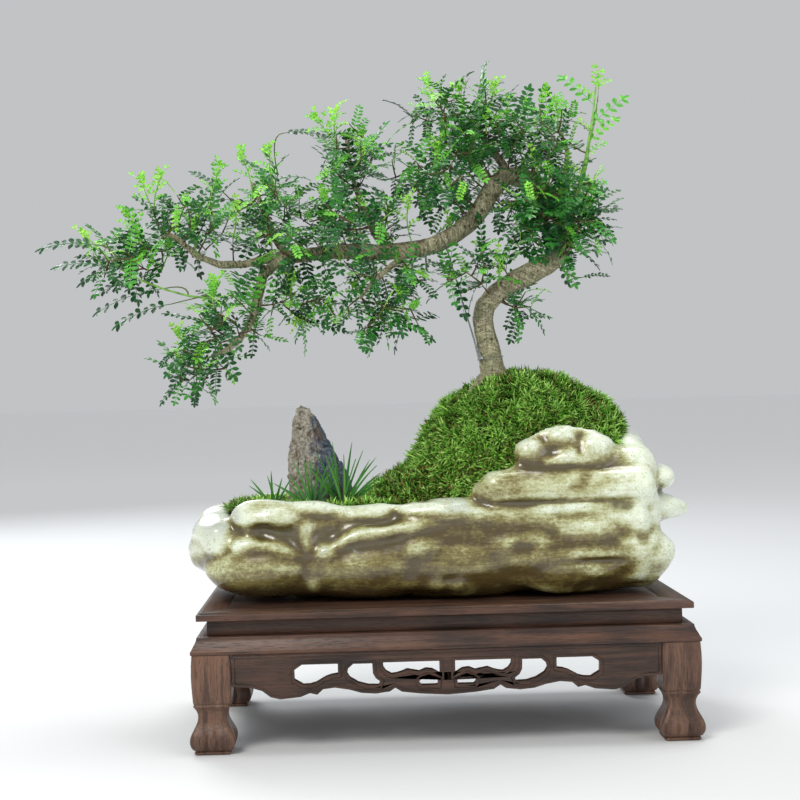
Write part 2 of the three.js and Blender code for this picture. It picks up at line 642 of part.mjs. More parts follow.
let taken = join([trunkSpace, wire]);
sprays.forEach((plan, i) => {
  const name = `leaf_spray_${String(i + 1).padStart(2, '0')}`;
  const shape = addPiece(name, spray(plan, taken), { color: 0x2f6b26, roughness: 0.4 });
  taken = taken.add(shape);
});

// The origin sits on the floor, under the middle of everything
const extent = new THREE.Box3().setFromObject(bonsai);
const middle = extent.getCenter(new THREE.Vector3());
bonsai.position.set(-middle.x, -middle.y, -extent.min.z);

export default bonsai;
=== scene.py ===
# A leaning bonsai on a mossy mound, in a rock-shaped glazed pot on a carved stand.
# Lengths in the dictionaries are millimetres; the CAD frame is in metres.
import heapq
import math
import random

import bpy
import numpy as np
from mathutils import Matrix, Vector, noise


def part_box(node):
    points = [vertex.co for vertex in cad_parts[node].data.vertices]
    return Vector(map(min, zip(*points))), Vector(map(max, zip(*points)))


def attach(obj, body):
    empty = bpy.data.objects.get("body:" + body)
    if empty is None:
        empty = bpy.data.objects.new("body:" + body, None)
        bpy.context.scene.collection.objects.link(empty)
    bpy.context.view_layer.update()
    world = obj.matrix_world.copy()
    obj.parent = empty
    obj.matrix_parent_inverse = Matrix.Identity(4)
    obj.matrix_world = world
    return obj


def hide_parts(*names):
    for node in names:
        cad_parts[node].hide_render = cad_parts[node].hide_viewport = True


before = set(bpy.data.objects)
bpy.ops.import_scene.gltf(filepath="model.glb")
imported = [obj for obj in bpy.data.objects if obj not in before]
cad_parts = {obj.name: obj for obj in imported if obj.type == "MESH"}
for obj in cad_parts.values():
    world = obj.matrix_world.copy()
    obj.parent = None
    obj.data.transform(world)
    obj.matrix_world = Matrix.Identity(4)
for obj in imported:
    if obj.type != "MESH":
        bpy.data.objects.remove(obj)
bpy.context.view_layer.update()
mm = 0.001
panelLow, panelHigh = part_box("top_panel")
standX = (panelLow.x + panelHigh.x) / 2  # middle of the stand
standTop = panelHigh.z
print("frame loaded:", len(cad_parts), "CAD pieces")


def place(x, y, z):
    # x, y, z millimetres from the stand's middle at floor level
    return Vector((standX + x * mm, y * mm, z * mm))


def deselectAll():
    if bpy.context.object and bpy.context.object.mode != "OBJECT":
        bpy.ops.object.mode_set(mode="OBJECT")
    bpy.ops.object.select_all(action="DESELECT")


def makeActive(piece, *others):
    deselectAll()
    for each in (piece, *others):
        each.select_set(True)
    bpy.context.view_layer.objects.active = piece


def corners(piece):
    flat = np.empty(len(piece.data.vertices) * 3)
    piece.data.vertices.foreach_get("co", flat)
    return flat.reshape(-1, 3)


def setCorners(piece, points):
    piece.data.vertices.foreach_set("co", np.asarray(points, float).ravel())
    piece.data.update()


def cornerNormals(piece):
    flat = np.empty(len(piece.data.vertices) * 3)
    piece.data.vertices.foreach_get("normal", flat)
    return flat.reshape(-1, 3)


def applyModifier(piece, kind, **settings):
    makeActive(piece)
    modifier = piece.modifiers.new(kind.lower(), kind)
    for key, value in settings.items():
        setattr(modifier, key, value)
    bpy.ops.object.modifier_apply(modifier=modifier.name)


def copyOfNode(node, name, flatten=1.0):
    # a welded copy of a CAD piece, with its flat faces made whole again
    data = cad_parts[node].data.copy()
    data.materials.clear()
    piece = bpy.data.objects.new(name, data)
    bpy.context.scene.collection.objects.link(piece)
    makeActive(piece)
    if data.has_custom_normals:
        bpy.ops.mesh.customdata_custom_splitnormals_clear()
    bpy.ops.object.mode_set(mode="EDIT")
    bpy.ops.mesh.select_all(action="SELECT")
    bpy.ops.mesh.remove_doubles(threshold=0.00002)
    if flatten:
        bpy.ops.mesh.dissolve_limited(angle_limit=math.radians(flatten))
    bpy.ops.object.mode_set(mode="OBJECT")
    return piece


def selectFaces(piece, test):
    # leaves the piece in edit mode with the chosen faces selected
    makeActive(piece)
    bpy.ops.object.mode_set(mode="EDIT")
    bpy.ops.mesh.select_mode(type="FACE")
    bpy.ops.mesh.select_all(action="DESELECT")
    bpy.ops.object.mode_set(mode="OBJECT")
    for face in piece.data.polygons:
        face.select = bool(test(face))
    bpy.ops.object.mode_set(mode="EDIT")


def selectCorners(piece, test):
    makeActive(piece)
    bpy.ops.object.mode_set(mode="EDIT")
    bpy.ops.mesh.select_mode(type="VERT")
    bpy.ops.mesh.select_all(action="DESELECT")
    bpy.ops.object.mode_set(mode="OBJECT")
    for corner in piece.data.vertices:
        corner.select = bool(test(corner.co))
    bpy.ops.object.mode_set(mode="EDIT")


def finishPiece(piece, material, slot, *replaced, smooth=35):
    makeActive(piece)
    bpy.ops.object.transform_apply(location=True, rotation=True, scale=True)
    piece.data.materials.clear()
    piece.data.materials.append(material)
    if smooth:
        bpy.ops.object.shade_smooth_by_angle(angle=math.radians(smooth))
    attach(piece, "root")
    if replaced:
        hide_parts(*replaced)
    return piece


def addNumbers(piece, name, values):
    layer = piece.data.attributes.new(name, "FLOAT", "POINT")
    layer.data.foreach_set("value", np.asarray(values, np.float32))


# Camera, floor and lights

cameraSetting = {"x": -71.1, "y": -1381.8, "z": 299.1, "yaw": 1.65, "pitch": -0.27, "roll": -1.37, "lens": 68.18}


def makeCamera():
    s = cameraSetting
    yaw, pitch, roll = (math.radians(s[key]) for key in ("yaw", "pitch", "roll"))
    ahead = Vector((math.sin(yaw) * math.cos(pitch), math.cos(yaw) * math.cos(pitch), math.sin(pitch)))
    right = Vector((math.cos(yaw), -math.sin(yaw), 0))
    up = right.cross(ahead)
    tilted = math.cos(roll) * right + math.sin(roll) * up
    up = math.cos(roll) * up - math.sin(roll) * right
    bpy.ops.object.camera_add()
    camera = bpy.context.object
    camera.matrix_world = Matrix.Translation(place(s["x"], s["y"], s["z"])) @ Matrix(
        (tilted, up, -ahead)).transposed().to_4x4()
    camera.data.lens = s["lens"]
    camera.data.sensor_width = 36
    camera.data.clip_start, camera.data.clip_end = 0.05, 60
    bpy.context.scene.camera = camera


lightSetting = {
    # place from the pot's middle in metres, size, power, colour
    "keyLight": ((-1.15, -1.75, 1.75), 1.1, 40, (1.0, 0.97, 0.92)),
    "fillLight": ((1.9, -1.7, 0.75), 1.6, 12, (0.93, 0.97, 1.0)),
    "topLight": ((0.35, 0.25, 1.9), 1.0, 18, (1.0, 1.0, 0.98)),
    "backLight": ((-1.0, 1.8, 1.2), 1.2, 22, (0.95, 0.98, 1.0)),
}


def makeLights():
    target = place(0, 0, 290)
    for name, (offset, size, power, colour) in lightSetting.items():
        bpy.ops.object.light_add(type="AREA", location=target + Vector(offset))
        lamp = bpy.context.object
        lamp.name = name
        lamp.data.shape = "DISK"
        lamp.data.size = size
        lamp.data.energy = power
        lamp.data.color = colour
        lamp.rotation_euler = (-Vector(offset)).to_track_quat("-Z", "Y").to_euler()
    world = bpy.data.worlds.new("paleRoom")
    world.use_nodes = True
    world.node_tree.nodes["Background"].inputs["Color"].default_value = (0.86, 0.88, 0.9, 1)
    world.node_tree.nodes["Background"].inputs["Strength"].default_value = 0.62
    bpy.context.scene.world = world
    bpy.context.scene.view_settings.view_transform = "Standard"


# Node helpers

class Nodes:
    # adds and links nodes in one tree, so each material reads as a short recipe

    def __init__(self, tree):
        self.tree = tree

    def add(self, kind, settings=None, **inputs):
        node = self.tree.nodes.new(kind)
        for key, value in (settings or {}).items():
            setattr(node, key, value)
        for key, value in inputs.items():
            socket = node.inputs[int(key[1:])] if key[0] == "i" and key[1:].isdigit() else node.inputs[key.replace("_", " ")]
            if isinstance(value, bpy.types.NodeSocket):
                self.tree.links.new(value, socket)
            else:
                socket.default_value = value
        return node

    def noise(self, vector, scale, detail=4, rough=0.55, distortion=0.0):
        return self.add("ShaderNodeTexNoise", Vector=vector, Scale=scale, Detail=detail,
                        Roughness=rough, Distortion=distortion).outputs["Fac"]

    def ramp(self, value, *stops, interpolation="LINEAR"):
        node = self.add("ShaderNodeValToRGB", i0=value)
        node.color_ramp.interpolation = interpolation
        elements = node.color_ramp.elements
        while len(elements) < len(stops):
            elements.new(0.5)
        for element, (where, colour) in zip(elements, stops):
            element.position = where
            element.color = colour if len(colour) == 4 else (*colour, 1)
        return node.outputs["Color"]

    def fit(self, value, low, high, toLow=0.0, toHigh=1.0, smooth=False):
        return self.add("ShaderNodeMapRange", {"interpolation_type": "SMOOTHSTEP" if smooth else "LINEAR"},
                        i0=value, i1=low, i2=high, i3=toLow, i4=toHigh).outputs[0]

    def math(self, operation, first, second=0.5):
        return self.add("ShaderNodeMath", {"operation": operation}, i0=first, i1=second).outputs[0]

    def mix(self, share, first, second, blend="MIX"):
        node = self.add("ShaderNodeMix", {"data_type": "RGBA", "blend_type": blend})
        for index, value in ((0, share), (6, first), (7, second)):
            if isinstance(value, bpy.types.NodeSocket):
                self.tree.links.new(value, node.inputs[index])
            else:
                node.inputs[index].default_value = value if index == 0 else (*value, 1)
        return node.outputs[2]

    def moved(self, vector, scale=(1, 1, 1), turn=(0, 0, 0)):
        return self.add("ShaderNodeMapping", Vector=vector, Scale=scale, Rotation=turn).outputs[0]

    def bump(self, height, strength, distance):
        return self.add("ShaderNodeBump", Height=height, Strength=strength, Distance=distance).outputs[0]


def paint(red, green, blue):
    # a colour given as on a paint chart, 0 to 255
    return tuple(((c / 255 + 0.055) / 1.055) ** 2.4 if c > 10 else c / 255 / 12.92 for c in (red, green, blue))


def newGroup(name, inputs, outputs):
    group = bpy.data.node_groups.new(name, "ShaderNodeTree")
    for label, kind, value in inputs:
        socket = group.interface.new_socket(label, in_out="INPUT", socket_type=kind)
        if value is not None:
            socket.default_value = value
    for label, kind in outputs:
        group.interface.new_socket(label, in_out="OUTPUT", socket_type=kind)
    n = Nodes(group)
    return n, n.add("NodeGroupInput"), n.add("NodeGroupOutput")


def newMaterial(name, **fixed):
    material = bpy.data.materials.new(name)
    material.use_nodes = True
    n = Nodes(material.node_tree)
    shader = material.node_tree.nodes["Principled BSDF"]
    for key, value in fixed.items():
        shader.inputs[key.replace("_", " ")].default_value = value
    return material, n, shader


def objectPlace(n):
    return n.add("ShaderNodeTexCoord").outputs["Object"]


# Wood of the stand

def makeWoodGroup():
    # the grain runs along the vector's x
    n, start, end = newGroup("woodGrain", [
        ("Vector", "NodeSocketVector", None), ("Dark", "NodeSocketColor", (0.02, 0.01, 0.008, 1)),
        ("Light", "NodeSocketColor", (0.08, 0.04, 0.03, 1)), ("Fineness", "NodeSocketFloat", 1.0),
    ], [("Color", "NodeSocketColor"), ("Roughness", "NodeSocketFloat"), ("Height", "NodeSocketFloat")])
    along = n.moved(start.outputs["Vector"], scale=(7, 95, 95))
    broad = n.noise(along, 1.0, detail=3, distortion=0.9)
    fine = n.noise(n.moved(start.outputs["Vector"], scale=(26, 900, 900)), 1.0, detail=5, rough=0.7)
    pores = n.noise(n.moved(start.outputs["Vector"], scale=(110, 2100, 2100)), 1.0, detail=2)
    poreMask = n.fit(pores, 0.56, 0.68, smooth=True)
    cloud = n.noise(start.outputs["Vector"], 16, detail=3)
    tone = n.math("ADD", n.math("MULTIPLY", broad, 0.55), n.math("MULTIPLY", fine, 0.45))
    tone = n.math("ADD", tone, n.math("MULTIPLY", n.math("SUBTRACT", cloud, 0.5), 0.35))
    share = n.fit(n.math("MULTIPLY", tone, start.outputs["Fineness"]), 0.34, 0.66, smooth=True)
    colour = n.mix(share, (0, 0, 0), (0, 0, 0))
    blend = colour.node
    n.tree.links.new(start.outputs["Dark"], blend.inputs[6])
    n.tree.links.new(start.outputs["Light"], blend.inputs[7])
    darker = n.mix(n.math("MULTIPLY", poreMask, 0.7), (0, 0, 0), (0.008, 0.005, 0.004))
    n.tree.links.new(colour, darker.node.inputs[6])
    n.tree.links.new(darker, end.inputs["Color"])
    n.tree.links.new(n.fit(n.math("ADD", fine, n.math("MULTIPLY", poreMask, 0.3)), 0.3, 1.0, 0.36, 0.66), end.inputs["Roughness"])
    n.tree.links.new(n.math("SUBTRACT", n.math("MULTIPLY", fine, 0.5), n.math("MULTIPLY", poreMask, 0.6)), end.inputs["Height"])
    return n.tree


woodGroup = makeWoodGroup()


def makeWood(name, grain, dark, light, fineness=1.0):
    # grain is "x", "y" or "z", the way the fibres run
    turn = {"x": (0, 0, 0), "y": (0, 0, math.pi / 2), "z": (0, math.pi / 2, 0)}[grain]
    material, n, shader = newMaterial(name, Specular_IOR_Level=0.42, Coat_Weight=0.12, Coat_Roughness=0.32)
    group = n.add("ShaderNodeGroup", {"node_tree": woodGroup}, Vector=n.moved(objectPlace(n), turn=turn),
                  Dark=(*dark, 1), Light=(*light, 1), Fineness=fineness)
    n.tree.links.new(group.outputs["Color"], shader.inputs["Base Color"])
    n.tree.links.new(group.outputs["Roughness"], shader.inputs["Roughness"])
    n.tree.links.new(n.bump(group.outputs["Height"], 0.35, 0.0006), shader.inputs["Normal"])
    return material


woodColour = {
    "board": (paint(34, 21, 15), paint(82, 55, 41)),
    "edge": (paint(42, 25, 18), paint(98, 66, 49)),
    "leg": (paint(60, 39, 28), paint(120, 87, 68)),
    "apron": (paint(34, 21, 15), paint(82, 56, 43)),
}
boardWood = {way: makeWood("boardWood_" + way, way, *woodColour["board"]) for way in "xy"}
edgeWood = {way: makeWood("edgeWood_" + way, way, *woodColour["edge"]) for way in "xy"}
apronWood = {way: makeWood("apronWood_" + way, way, *woodColour["apron"]) for way in "xy"}
legWood = makeWood("legWood", "z", *woodColour["leg"])
# Stand: board, waist, mouldings, aprons and legs

standShape = {
    "edgeRound": 0.45,  # softened arris of the boards
    "beadIn": 2.0, "beadWide": 0.55, "beadHigh": 0.6,  # raised line round the openwork
    # half width and height of a leg, from the floor up
    "legRings": [
        (12.4, 0.0), (14.8, 0.4), (15.4, 1.3), (15.2, 2.4), (14.4, 3.0), (14.6, 3.5), (16.6, 4.6), (18.2, 7.0),
        (18.9, 9.6), (19.0, 12.0), (18.6, 14.6), (17.6, 17.4), (16.0, 20.4), (14.2, 23.6), (12.8, 27.0),
        (12.1, 30.5), (12.3, 33.6), (13.2, 36.6), (14.6, 38.8), (15.5, 40.0), (15.7, 40.8), (15.2, 41.4),
        (14.9, 41.9), (15.3, 42.4), (15.8, 44.0), (16.2, 50.0), (16.7, 58.0), (16.95, 66.0), (16.8, 74.0),
        (16.4, 80.0), (16.2, 83.4),
    ],
    "legCorner": 2.6, "toeWide": 9.6, "toeDeep": 1.9,
}


def makeBoards():
    for node in ("board_rail_front", "board_rail_back", "board_rail_left", "board_rail_right",
                 "waist_strip_front", "waist_strip_back", "waist_strip_left", "waist_strip_right",
                 "moulding_front", "moulding_back", "moulding_left", "moulding_right",
                 "batten_left", "batten_right", "top_panel"):
        grain = "y" if node.endswith(("left", "right")) else "x"
        wood = boardWood if node.startswith(("top", "batten", "waist")) else edgeWood
        piece = copyOfNode(node, node + "_wood")
        applyModifier(piece, "BEVEL", width=standShape["edgeRound"] * mm, segments=2, limit_method="ANGLE",
                      angle_limit=math.radians(32), use_clamp_overlap=True)
        finishPiece(piece, wood[grain], "stand_wood", node)


def makeAprons():
    s = standShape
    outward = {"front": (0, -1), "back": (0, 1), "left": (-1, 0), "right": (1, 0)}
    for side, (outX, outY) in outward.items():
        piece = copyOfNode("apron_" + side, "apron_" + side + "_wood")
        selectFaces(piece, lambda face: face.normal.x * outX + face.normal.y * outY > 0.99)
        bpy.ops.mesh.inset(thickness=s["beadIn"] * mm, depth=0)
        bpy.ops.mesh.inset(thickness=s["beadWide"] * mm, depth=s["beadHigh"] * mm)
        bpy.ops.mesh.inset(thickness=s["beadWide"] * mm * 0.5, depth=0)
        bpy.ops.mesh.inset(thickness=s["beadWide"] * mm, depth=-s["beadHigh"] * mm)
        bpy.ops.object.mode_set(mode="OBJECT")
        applyModifier(piece, "BEVEL", width=0.35 * mm, segments=2, limit_method="ANGLE",
                      angle_limit=math.radians(50), use_clamp_overlap=True)
        finishPiece(piece, apronWood["x" if outX == 0 else "y"], "stand_wood", "apron_" + side, smooth=40)


def makeLegs():
    s = standShape
    for node in ("leg_front_left", "leg_front_right", "leg_back_left", "leg_back_right"):
        low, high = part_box(node)
        middle = (low + high) / 2
        tall = (high.z - low.z) / mm
        rings = [(half, up * tall / s["legRings"][-1][1]) for half, up in s["legRings"]]
        deselectAll()
        bpy.ops.mesh.primitive_grid_add(x_subdivisions=16, y_subdivisions=16, size=2 * rings[0][0] * mm,
                                        location=(middle.x, middle.y, low.z))
        leg = bpy.context.object
        leg.name = node + "_wood"
        bpy.ops.object.transform_apply(location=True, rotation=True, scale=True)
        bpy.ops.object.mode_set(mode="EDIT")
        bpy.ops.mesh.select_all(action="SELECT")
        for (half, up), (wide, higher) in zip(rings, rings[1:]):
            bpy.ops.mesh.extrude_region_move(TRANSFORM_OT_translate={"value": (0, 0, (higher - up) * mm)})
            bpy.ops.transform.resize(value=(wide / half, wide / half, 1), center_override=(middle.x, middle.y, 0))
        bpy.ops.mesh.select_all(action="SELECT")
        bpy.ops.mesh.normals_make_consistent(inside=False)
        bpy.ops.object.mode_set(mode="OBJECT")
        shapeLeg(leg, middle, low.z, rings)
        finishPiece(leg, legWood, "stand_wood", node, smooth=42)


def shapeLeg(leg, middle, floor, rings):
    # rounds the four corners, and presses two grooves between three toes into each side
    s = standShape
    points = corners(leg)
    flat = (points[:, :2] - np.array(middle[:2])) / mm
    up = (points[:, 2] - floor) / mm
    half = np.interp(up, [r[1] for r in rings], [r[0] for r in rings])
    paw = np.clip((up - 3.2) / 3, 0, 1) * np.clip((22 - up) / 8, 0, 1)
    corner = s["legCorner"] + paw * 1.6
    inner = np.clip(flat, -(half - corner)[:, None], (half - corner)[:, None])
    rest = flat - inner
    reach = np.abs(rest).max(1)
    length = np.maximum(np.hypot(*rest.T), 1e-6)
    onRim = reach > 1e-4
    flat[onRim] = inner[onRim] + rest[onRim] * (reach / length)[onRim, None]
    for axis in (0, 1):
        across = flat[:, 1 - axis]
        groove = np.exp(-(((np.abs(across) - s["toeWide"] / 2) / 1.15) ** 2)) * s["toeDeep"] * paw
        side = np.abs(flat[:, axis]) > half * 0.8
        flat[:, axis] -= np.where(side, np.sign(flat[:, axis]) * groove, 0)
    points[:, :2] = flat * mm + np.array(middle[:2])
    setCorners(leg, points)


def makeFloor():
    deselectAll()
    bpy.ops.mesh.primitive_circle_add(vertices=96, radius=40, fill_type="NGON", location=(0, 0, 0))
    floor = bpy.context.object
    floor.name = "studioFloor"
    material, n, shader = newMaterial("paleFloor")
    where = objectPlace(n)
    patch = n.noise(where, 0.6, detail=2)
    away = n.add("ShaderNodeVectorMath", {"operation": "LENGTH"}, i0=where).outputs["Value"]
    near = n.ramp(patch, (0.2, (0.70, 0.71, 0.72)), (0.8, (0.76, 0.77, 0.78)))
    n.tree.links.new(n.mix(n.fit(away, 0.9, 4.5, smooth=True), near, (0.97, 0.97, 0.97)), shader.inputs["Base Color"])
    shader.inputs["Roughness"].default_value = 0.75
    floor.data.materials.append(material)


makeCamera()
makeLights()
makeFloor()
print("camera, lights and floor set")
makeBoards()
makeAprons()
makeLegs()
print("stand done")
# Pot: overlapping clay lobes fused into one skin, then hollowed and glazed

potShape = {
    "skin": 2.3, "soften": 8, "drain": 7.0, "ridgeFat": 1.3, "ridgeSink": 4.5,
    # Lobes of the whole body: middle x, y, z above the stand, then reach in x, y, z
    "body": [
        (-58, 0, 40, 150, 74, 38), (88, 0, 48, 98, 74, 46), (160, -6, 52, 38, 70, 46), (-186, 0, 46, 27, 56, 25),
        (-204, -6, 43, 22, 44, 21), (-194, -18, 63, 22, 48, 15), (150, 0, 98, 46, 70, 28), (172, 0, 74, 24, 60, 40),
        (171, 4, 125, 20, 54, 20),
    ],
    # Rounded blocks that close the walls behind the lobes: left, right, half depth, bottom, top, rounding
    "blocks": [(-186, 40, 73, 5, 66, 24), (20, 110, 73, 17, 66, 22), (84, 199, 71, 4, 68, 24), (40, 195, 68, 30, 100, 22),
               (70, 193, 64, 66, 130, 20), (-176, 60, 71, 30, 78, 14),
               (-190, -112, 71, 8, 50, 17), (-124, -98, 75, 8, 45, 13), (-104, -76, 76, 8, 56, 13), (-82, -42, 77, 8, 63, 13),
               (-50, -10, 77, 8, 69, 13), (-18, 44, 77, 9, 75, 13), (32, 118, 77, 10, 77, 13), (96, 184, 76, 10, 79, 14), (36, 189, 76, 76, 111, 14), (62, 154, 64, 106, 141, 15)],
    # Lobes of the front wall, which have a looser twin on the back wall
    "bulges": [
        (-196, -22, 60, 25, 38, 19), (-188, -42, 54, 24, 27, 16),
        (-152, -42, 30, 58, 38, 26), (-62, -44, 31, 88, 38, 31), (16, -44, 33, 88, 39, 36), (70, -44, 40, 84, 39, 36),
        (118, -46, 34, 92, 37, 34), (8, -50, 15, 40, 32, 13), (-20, -46, 46, 60, 36, 24), (-148, -58, 74, 34, 21, 12), (-66, -56, 71, 38, 17, 12), (125, -64, 56, 42, 18, 15),
        (134, -68, 22, 28, 14, 8), (2, -60, 78, 44, 21, 12), (84, -58, 92, 58, 23, 19), (150, -56, 91, 36, 23, 15),
        (114, -50, 120, 50, 22, 20), (80, -56, 126, 15, 16, 13), (107, -55, 133, 15, 15, 15),
        (137, -56, 128, 17, 15, 15),
        (127, -60, 119, 11, 11, 10), (96, -60, 117, 13, 11, 10), (172, -34, 118, 19, 30, 14), (184, -28, 108, 14, 26, 10),
        (172, -50, 66, 13, 24, 50), (158, -52, 40, 38, 28, 28),
    ],
    # Ridges: radius, then points x, y, z above the stand
    "ridges": [
        (6.2, [(-112, -72, 37), (-104, -76, 43), (-90, -77, 52), (-70, -77, 58), (-33, -77, 64), (-5, -76, 70), (30, -75, 73),
               (78, -75, 71), (100, -74, 77), (128, -73, 79), (160, -70, 75), (176, -62, 70)]),
        (5.6, [(-190, -58, 45), (-178, -69, 49), (-165, -73, 53), (-148, -74, 50), (-131, -75, 44), (-118, -74, 38)]),
        (5.4, [(-182, -52, 76), (-172, -62, 82), (-150, -66, 84), (-133, -67, 83), (-118, -68, 82), (-102, -67, 82), (-88, -66, 79),
               (-70, -65, 78), (-52, -66, 79), (-34, -67, 83)]),
        (7.6, [(-117, -68, 76), (-118, -72, 62), (-117, -73, 48), (-113, -71, 36)]),
        (4.6, [(40, -66, 104), (56, -68, 109), (100, -68, 111), (130, -67, 109), (170, -60, 106), (184, -46, 104)]),
        (4.6, [(64, -50, 128), (80, -57, 138), (102, -59, 144), (126, -59, 143), (146, -56, 137), (157, -48, 126)]),
        (5.0, [(168, -62, 30), (174, -62, 50), (174, -60, 70), (172, -58, 92), (168, -54, 108)]),
        (5.0, [(-4, -70, 10), (14, -72, 7), (30, -71, 12), (50, -70, 19), (72, -70, 18), (92, -71, 10), (124, -70, 8), (152, -66, 11)]),
    ],
    # Hollows pressed into the front: x, z above the stand, reach in x and z, depth
    "hollows": [(-155, 64, 11, 7, 6), (-133, 61, 6, 5, 3), (-62, 71, 32, 4.5, 6), (-96, 63, 12, 6, 5), (132, 32, 26, 2.6, 5), (96, 83, 56, 2.6, 4),
                (98, 112.5, 46, 2.2, 3), (97, 127, 5, 4, 2.5), (122, 126, 4, 6, 3), (30, 84, 9, 4, 2), (-196, 52, 7, 4, 2)],
    # Nubs and the long spike of the right end
    "nubs": [
        (201, -12, 100, 15, 36, 11), (196, -16, 72, 26, 34, 13), (210, -20, 71, 17, 14, 9), (186, -18, 37, 25, 42, 14),
        (190, 32, 90, 20, 34, 14), (188, 34, 55, 23, 36, 15), (180, 6, 118, 18, 46, 12), (184, 36, 26, 22, 32, 12),
    ],
}


def addLobe(x, y, z, reachX, reachY, reachZ):
    spot = place(x, y, 0)
    spot.z = standTop + z * mm
    bpy.ops.mesh.primitive_uv_sphere_add(segments=28, ring_count=16, radius=1, location=spot,
                                         scale=(reachX * mm, reachY * mm, reachZ * mm))
    return bpy.context.object


def addBlock(left, right, half, bottom, top, rounding):
    spot = place((left + right) / 2, 0, 0)
    spot.z = standTop + (bottom + top) / 2 * mm
    bpy.ops.mesh.primitive_cube_add(size=1, location=spot,
                                    scale=((right - left) * mm, 2 * half * mm, (top - bottom) * mm))
    bpy.ops.object.transform_apply(location=False, rotation=False, scale=True)
    bpy.ops.object.mode_set(mode="EDIT")
    bpy.ops.mesh.bevel(offset=rounding * mm, segments=6)
    bpy.ops.object.mode_set(mode="OBJECT")
    return bpy.context.object


def addRidge(radius, points):
    # a tapering tube through the points, later fused into the clay
    curve = bpy.data.curves.new("ridge", "CURVE")
    curve.dimensions = "3D"
    curve.bevel_depth = radius * potShape["ridgeFat"] * mm
    curve.bevel_resolution = 3
    curve.use_fill_caps = True
    line = curve.splines.new("NURBS")
    line.points.add(len(points) - 1)
    for spot, (x, y, z) in zip(line.points, points):
        sunk = y - math.copysign(potShape["ridgeSink"], y)
        spot.co = (*place(x, sunk, standTop / mm + z), 1)
    for count, spot in enumerate(line.points):
        spot.radius = 1 + 0.22 * math.sin(count * 1.9 + radius)
    line.points[0].radius = line.points[-1].radius = 0.5
    line.order_u = 3
    line.use_endpoint_u = True
    ridge = bpy.data.objects.new("ridge", curve)
    bpy.context.scene.collection.objects.link(ridge)
    makeActive(ridge)
    bpy.ops.object.convert(target="MESH")
    return bpy.context.object


def makeHollow(s):
    # the planting hollow, a rounded tray shape that reaches up through everything
    low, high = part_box("moss_cover")
    soilLow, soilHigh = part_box("soil")
    deselectAll()
    middle = (low + high) / 2
    bpy.ops.mesh.primitive_cube_add(size=1, location=(middle.x, middle.y, soilLow.z - 0.0003 + 0.2),
                                    scale=(high.x - low.x + 0.0004, high.y - low.y + 0.0004, 0.4))
    hollow = bpy.context.object
    bpy.ops.object.transform_apply(location=True, rotation=True, scale=True)
    bpy.ops.object.mode_set(mode="OBJECT")
    bpy.ops.object.mode_set(mode="EDIT")
    bpy.ops.mesh.select_mode(type="EDGE")
    bpy.ops.object.mode_set(mode="OBJECT")
    for face in hollow.data.polygons:
        face.select = False
    for corner in hollow.data.vertices:
        corner.select = False
    for edge in hollow.data.edges:
        ends = [hollow.data.vertices[i].co for i in edge.vertices]
        edge.select = abs(ends[0].z - ends[1].z) > 0.1
    bpy.ops.object.mode_set(mode="EDIT")
    bpy.ops.mesh.bevel(offset=0.046, segments=10, profile=0.5)
    bpy.ops.object.mode_set(mode="OBJECT")
    return hollow


def makePot():
    s = potShape
    deselectAll()
    lobes = [addLobe(*row) for row in s["body"] + s["nubs"]]
    for count, (radius, points) in enumerate(s["ridges"]):
        lobes.append(addRidge(radius, points))
        lobes.append(addRidge(radius, [(x * 0.97 + 4 * math.sin(count * 2.1), -y, z + 2 * math.cos(count)) for x, y, z in points]))
    for count, row in enumerate(s["bulges"]):
        lobes.append(addLobe(*row))
        x, y, z, reachX, reachY, reachZ = row
        drift = math.sin(count * 2.4)
        lobes.append(addLobe(x + 9 * drift, -y, z + 2.5 * math.cos(count * 1.7), reachX, reachY, reachZ))
    for row in s["blocks"]:
        deselectAll()
        lobes.append(addBlock(*row))
    spot = place(2, 0, 0)
    spot.z = standTop + 8.5 * mm
    bpy.ops.mesh.primitive_cube_add(size=1, location=spot, scale=(0.27, 0.062, 0.0165))
    lobes.append(bpy.context.object)
    pot = lobes[0]
    makeActive(pot, *lobes)
    bpy.ops.object.join()
    pot.name = "glazed_pot"
    bpy.ops.object.transform_apply(location=True, rotation=True, scale=True)
    applyModifier(pot, "REMESH", mode="VOXEL", voxel_size=s["skin"] * mm)
    applyModifier(pot, "SMOOTH", factor=0.6, iterations=s["soften"])
    wornClay(pot)
    hollow = makeHollow(s)
    applyModifier(pot, "BOOLEAN", operation="DIFFERENCE", object=hollow, solver="MANIFOLD")
    drainLow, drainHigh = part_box("drain_screen")
    middle = (drainLow + drainHigh) / 2
    bpy.ops.mesh.primitive_cylinder_add(vertices=32, radius=s["drain"] * mm, depth=0.08,
                                        location=(middle.x, middle.y, standTop + 0.01))
    drain = bpy.context.object
    applyModifier(pot, "BOOLEAN", operation="DIFFERENCE", object=drain, solver="MANIFOLD")
    bpy.data.objects.remove(hollow)
    bpy.data.objects.remove(drain)
    applyModifier(pot, "REMESH", mode="VOXEL", voxel_size=s["skin"] * mm * 0.96)
    applyModifier(pot, "SMOOTH", factor=0.5, iterations=4)
    keepAboveStand(pot)
    glazeNumbers(pot)
    finishPiece(pot, makeGlaze(), "glaze", "pot", smooth=0)
    makeActive(pot)
    bpy.ops.object.shade_smooth()
    print("pot:", len(pot.data.polygons), "faces")


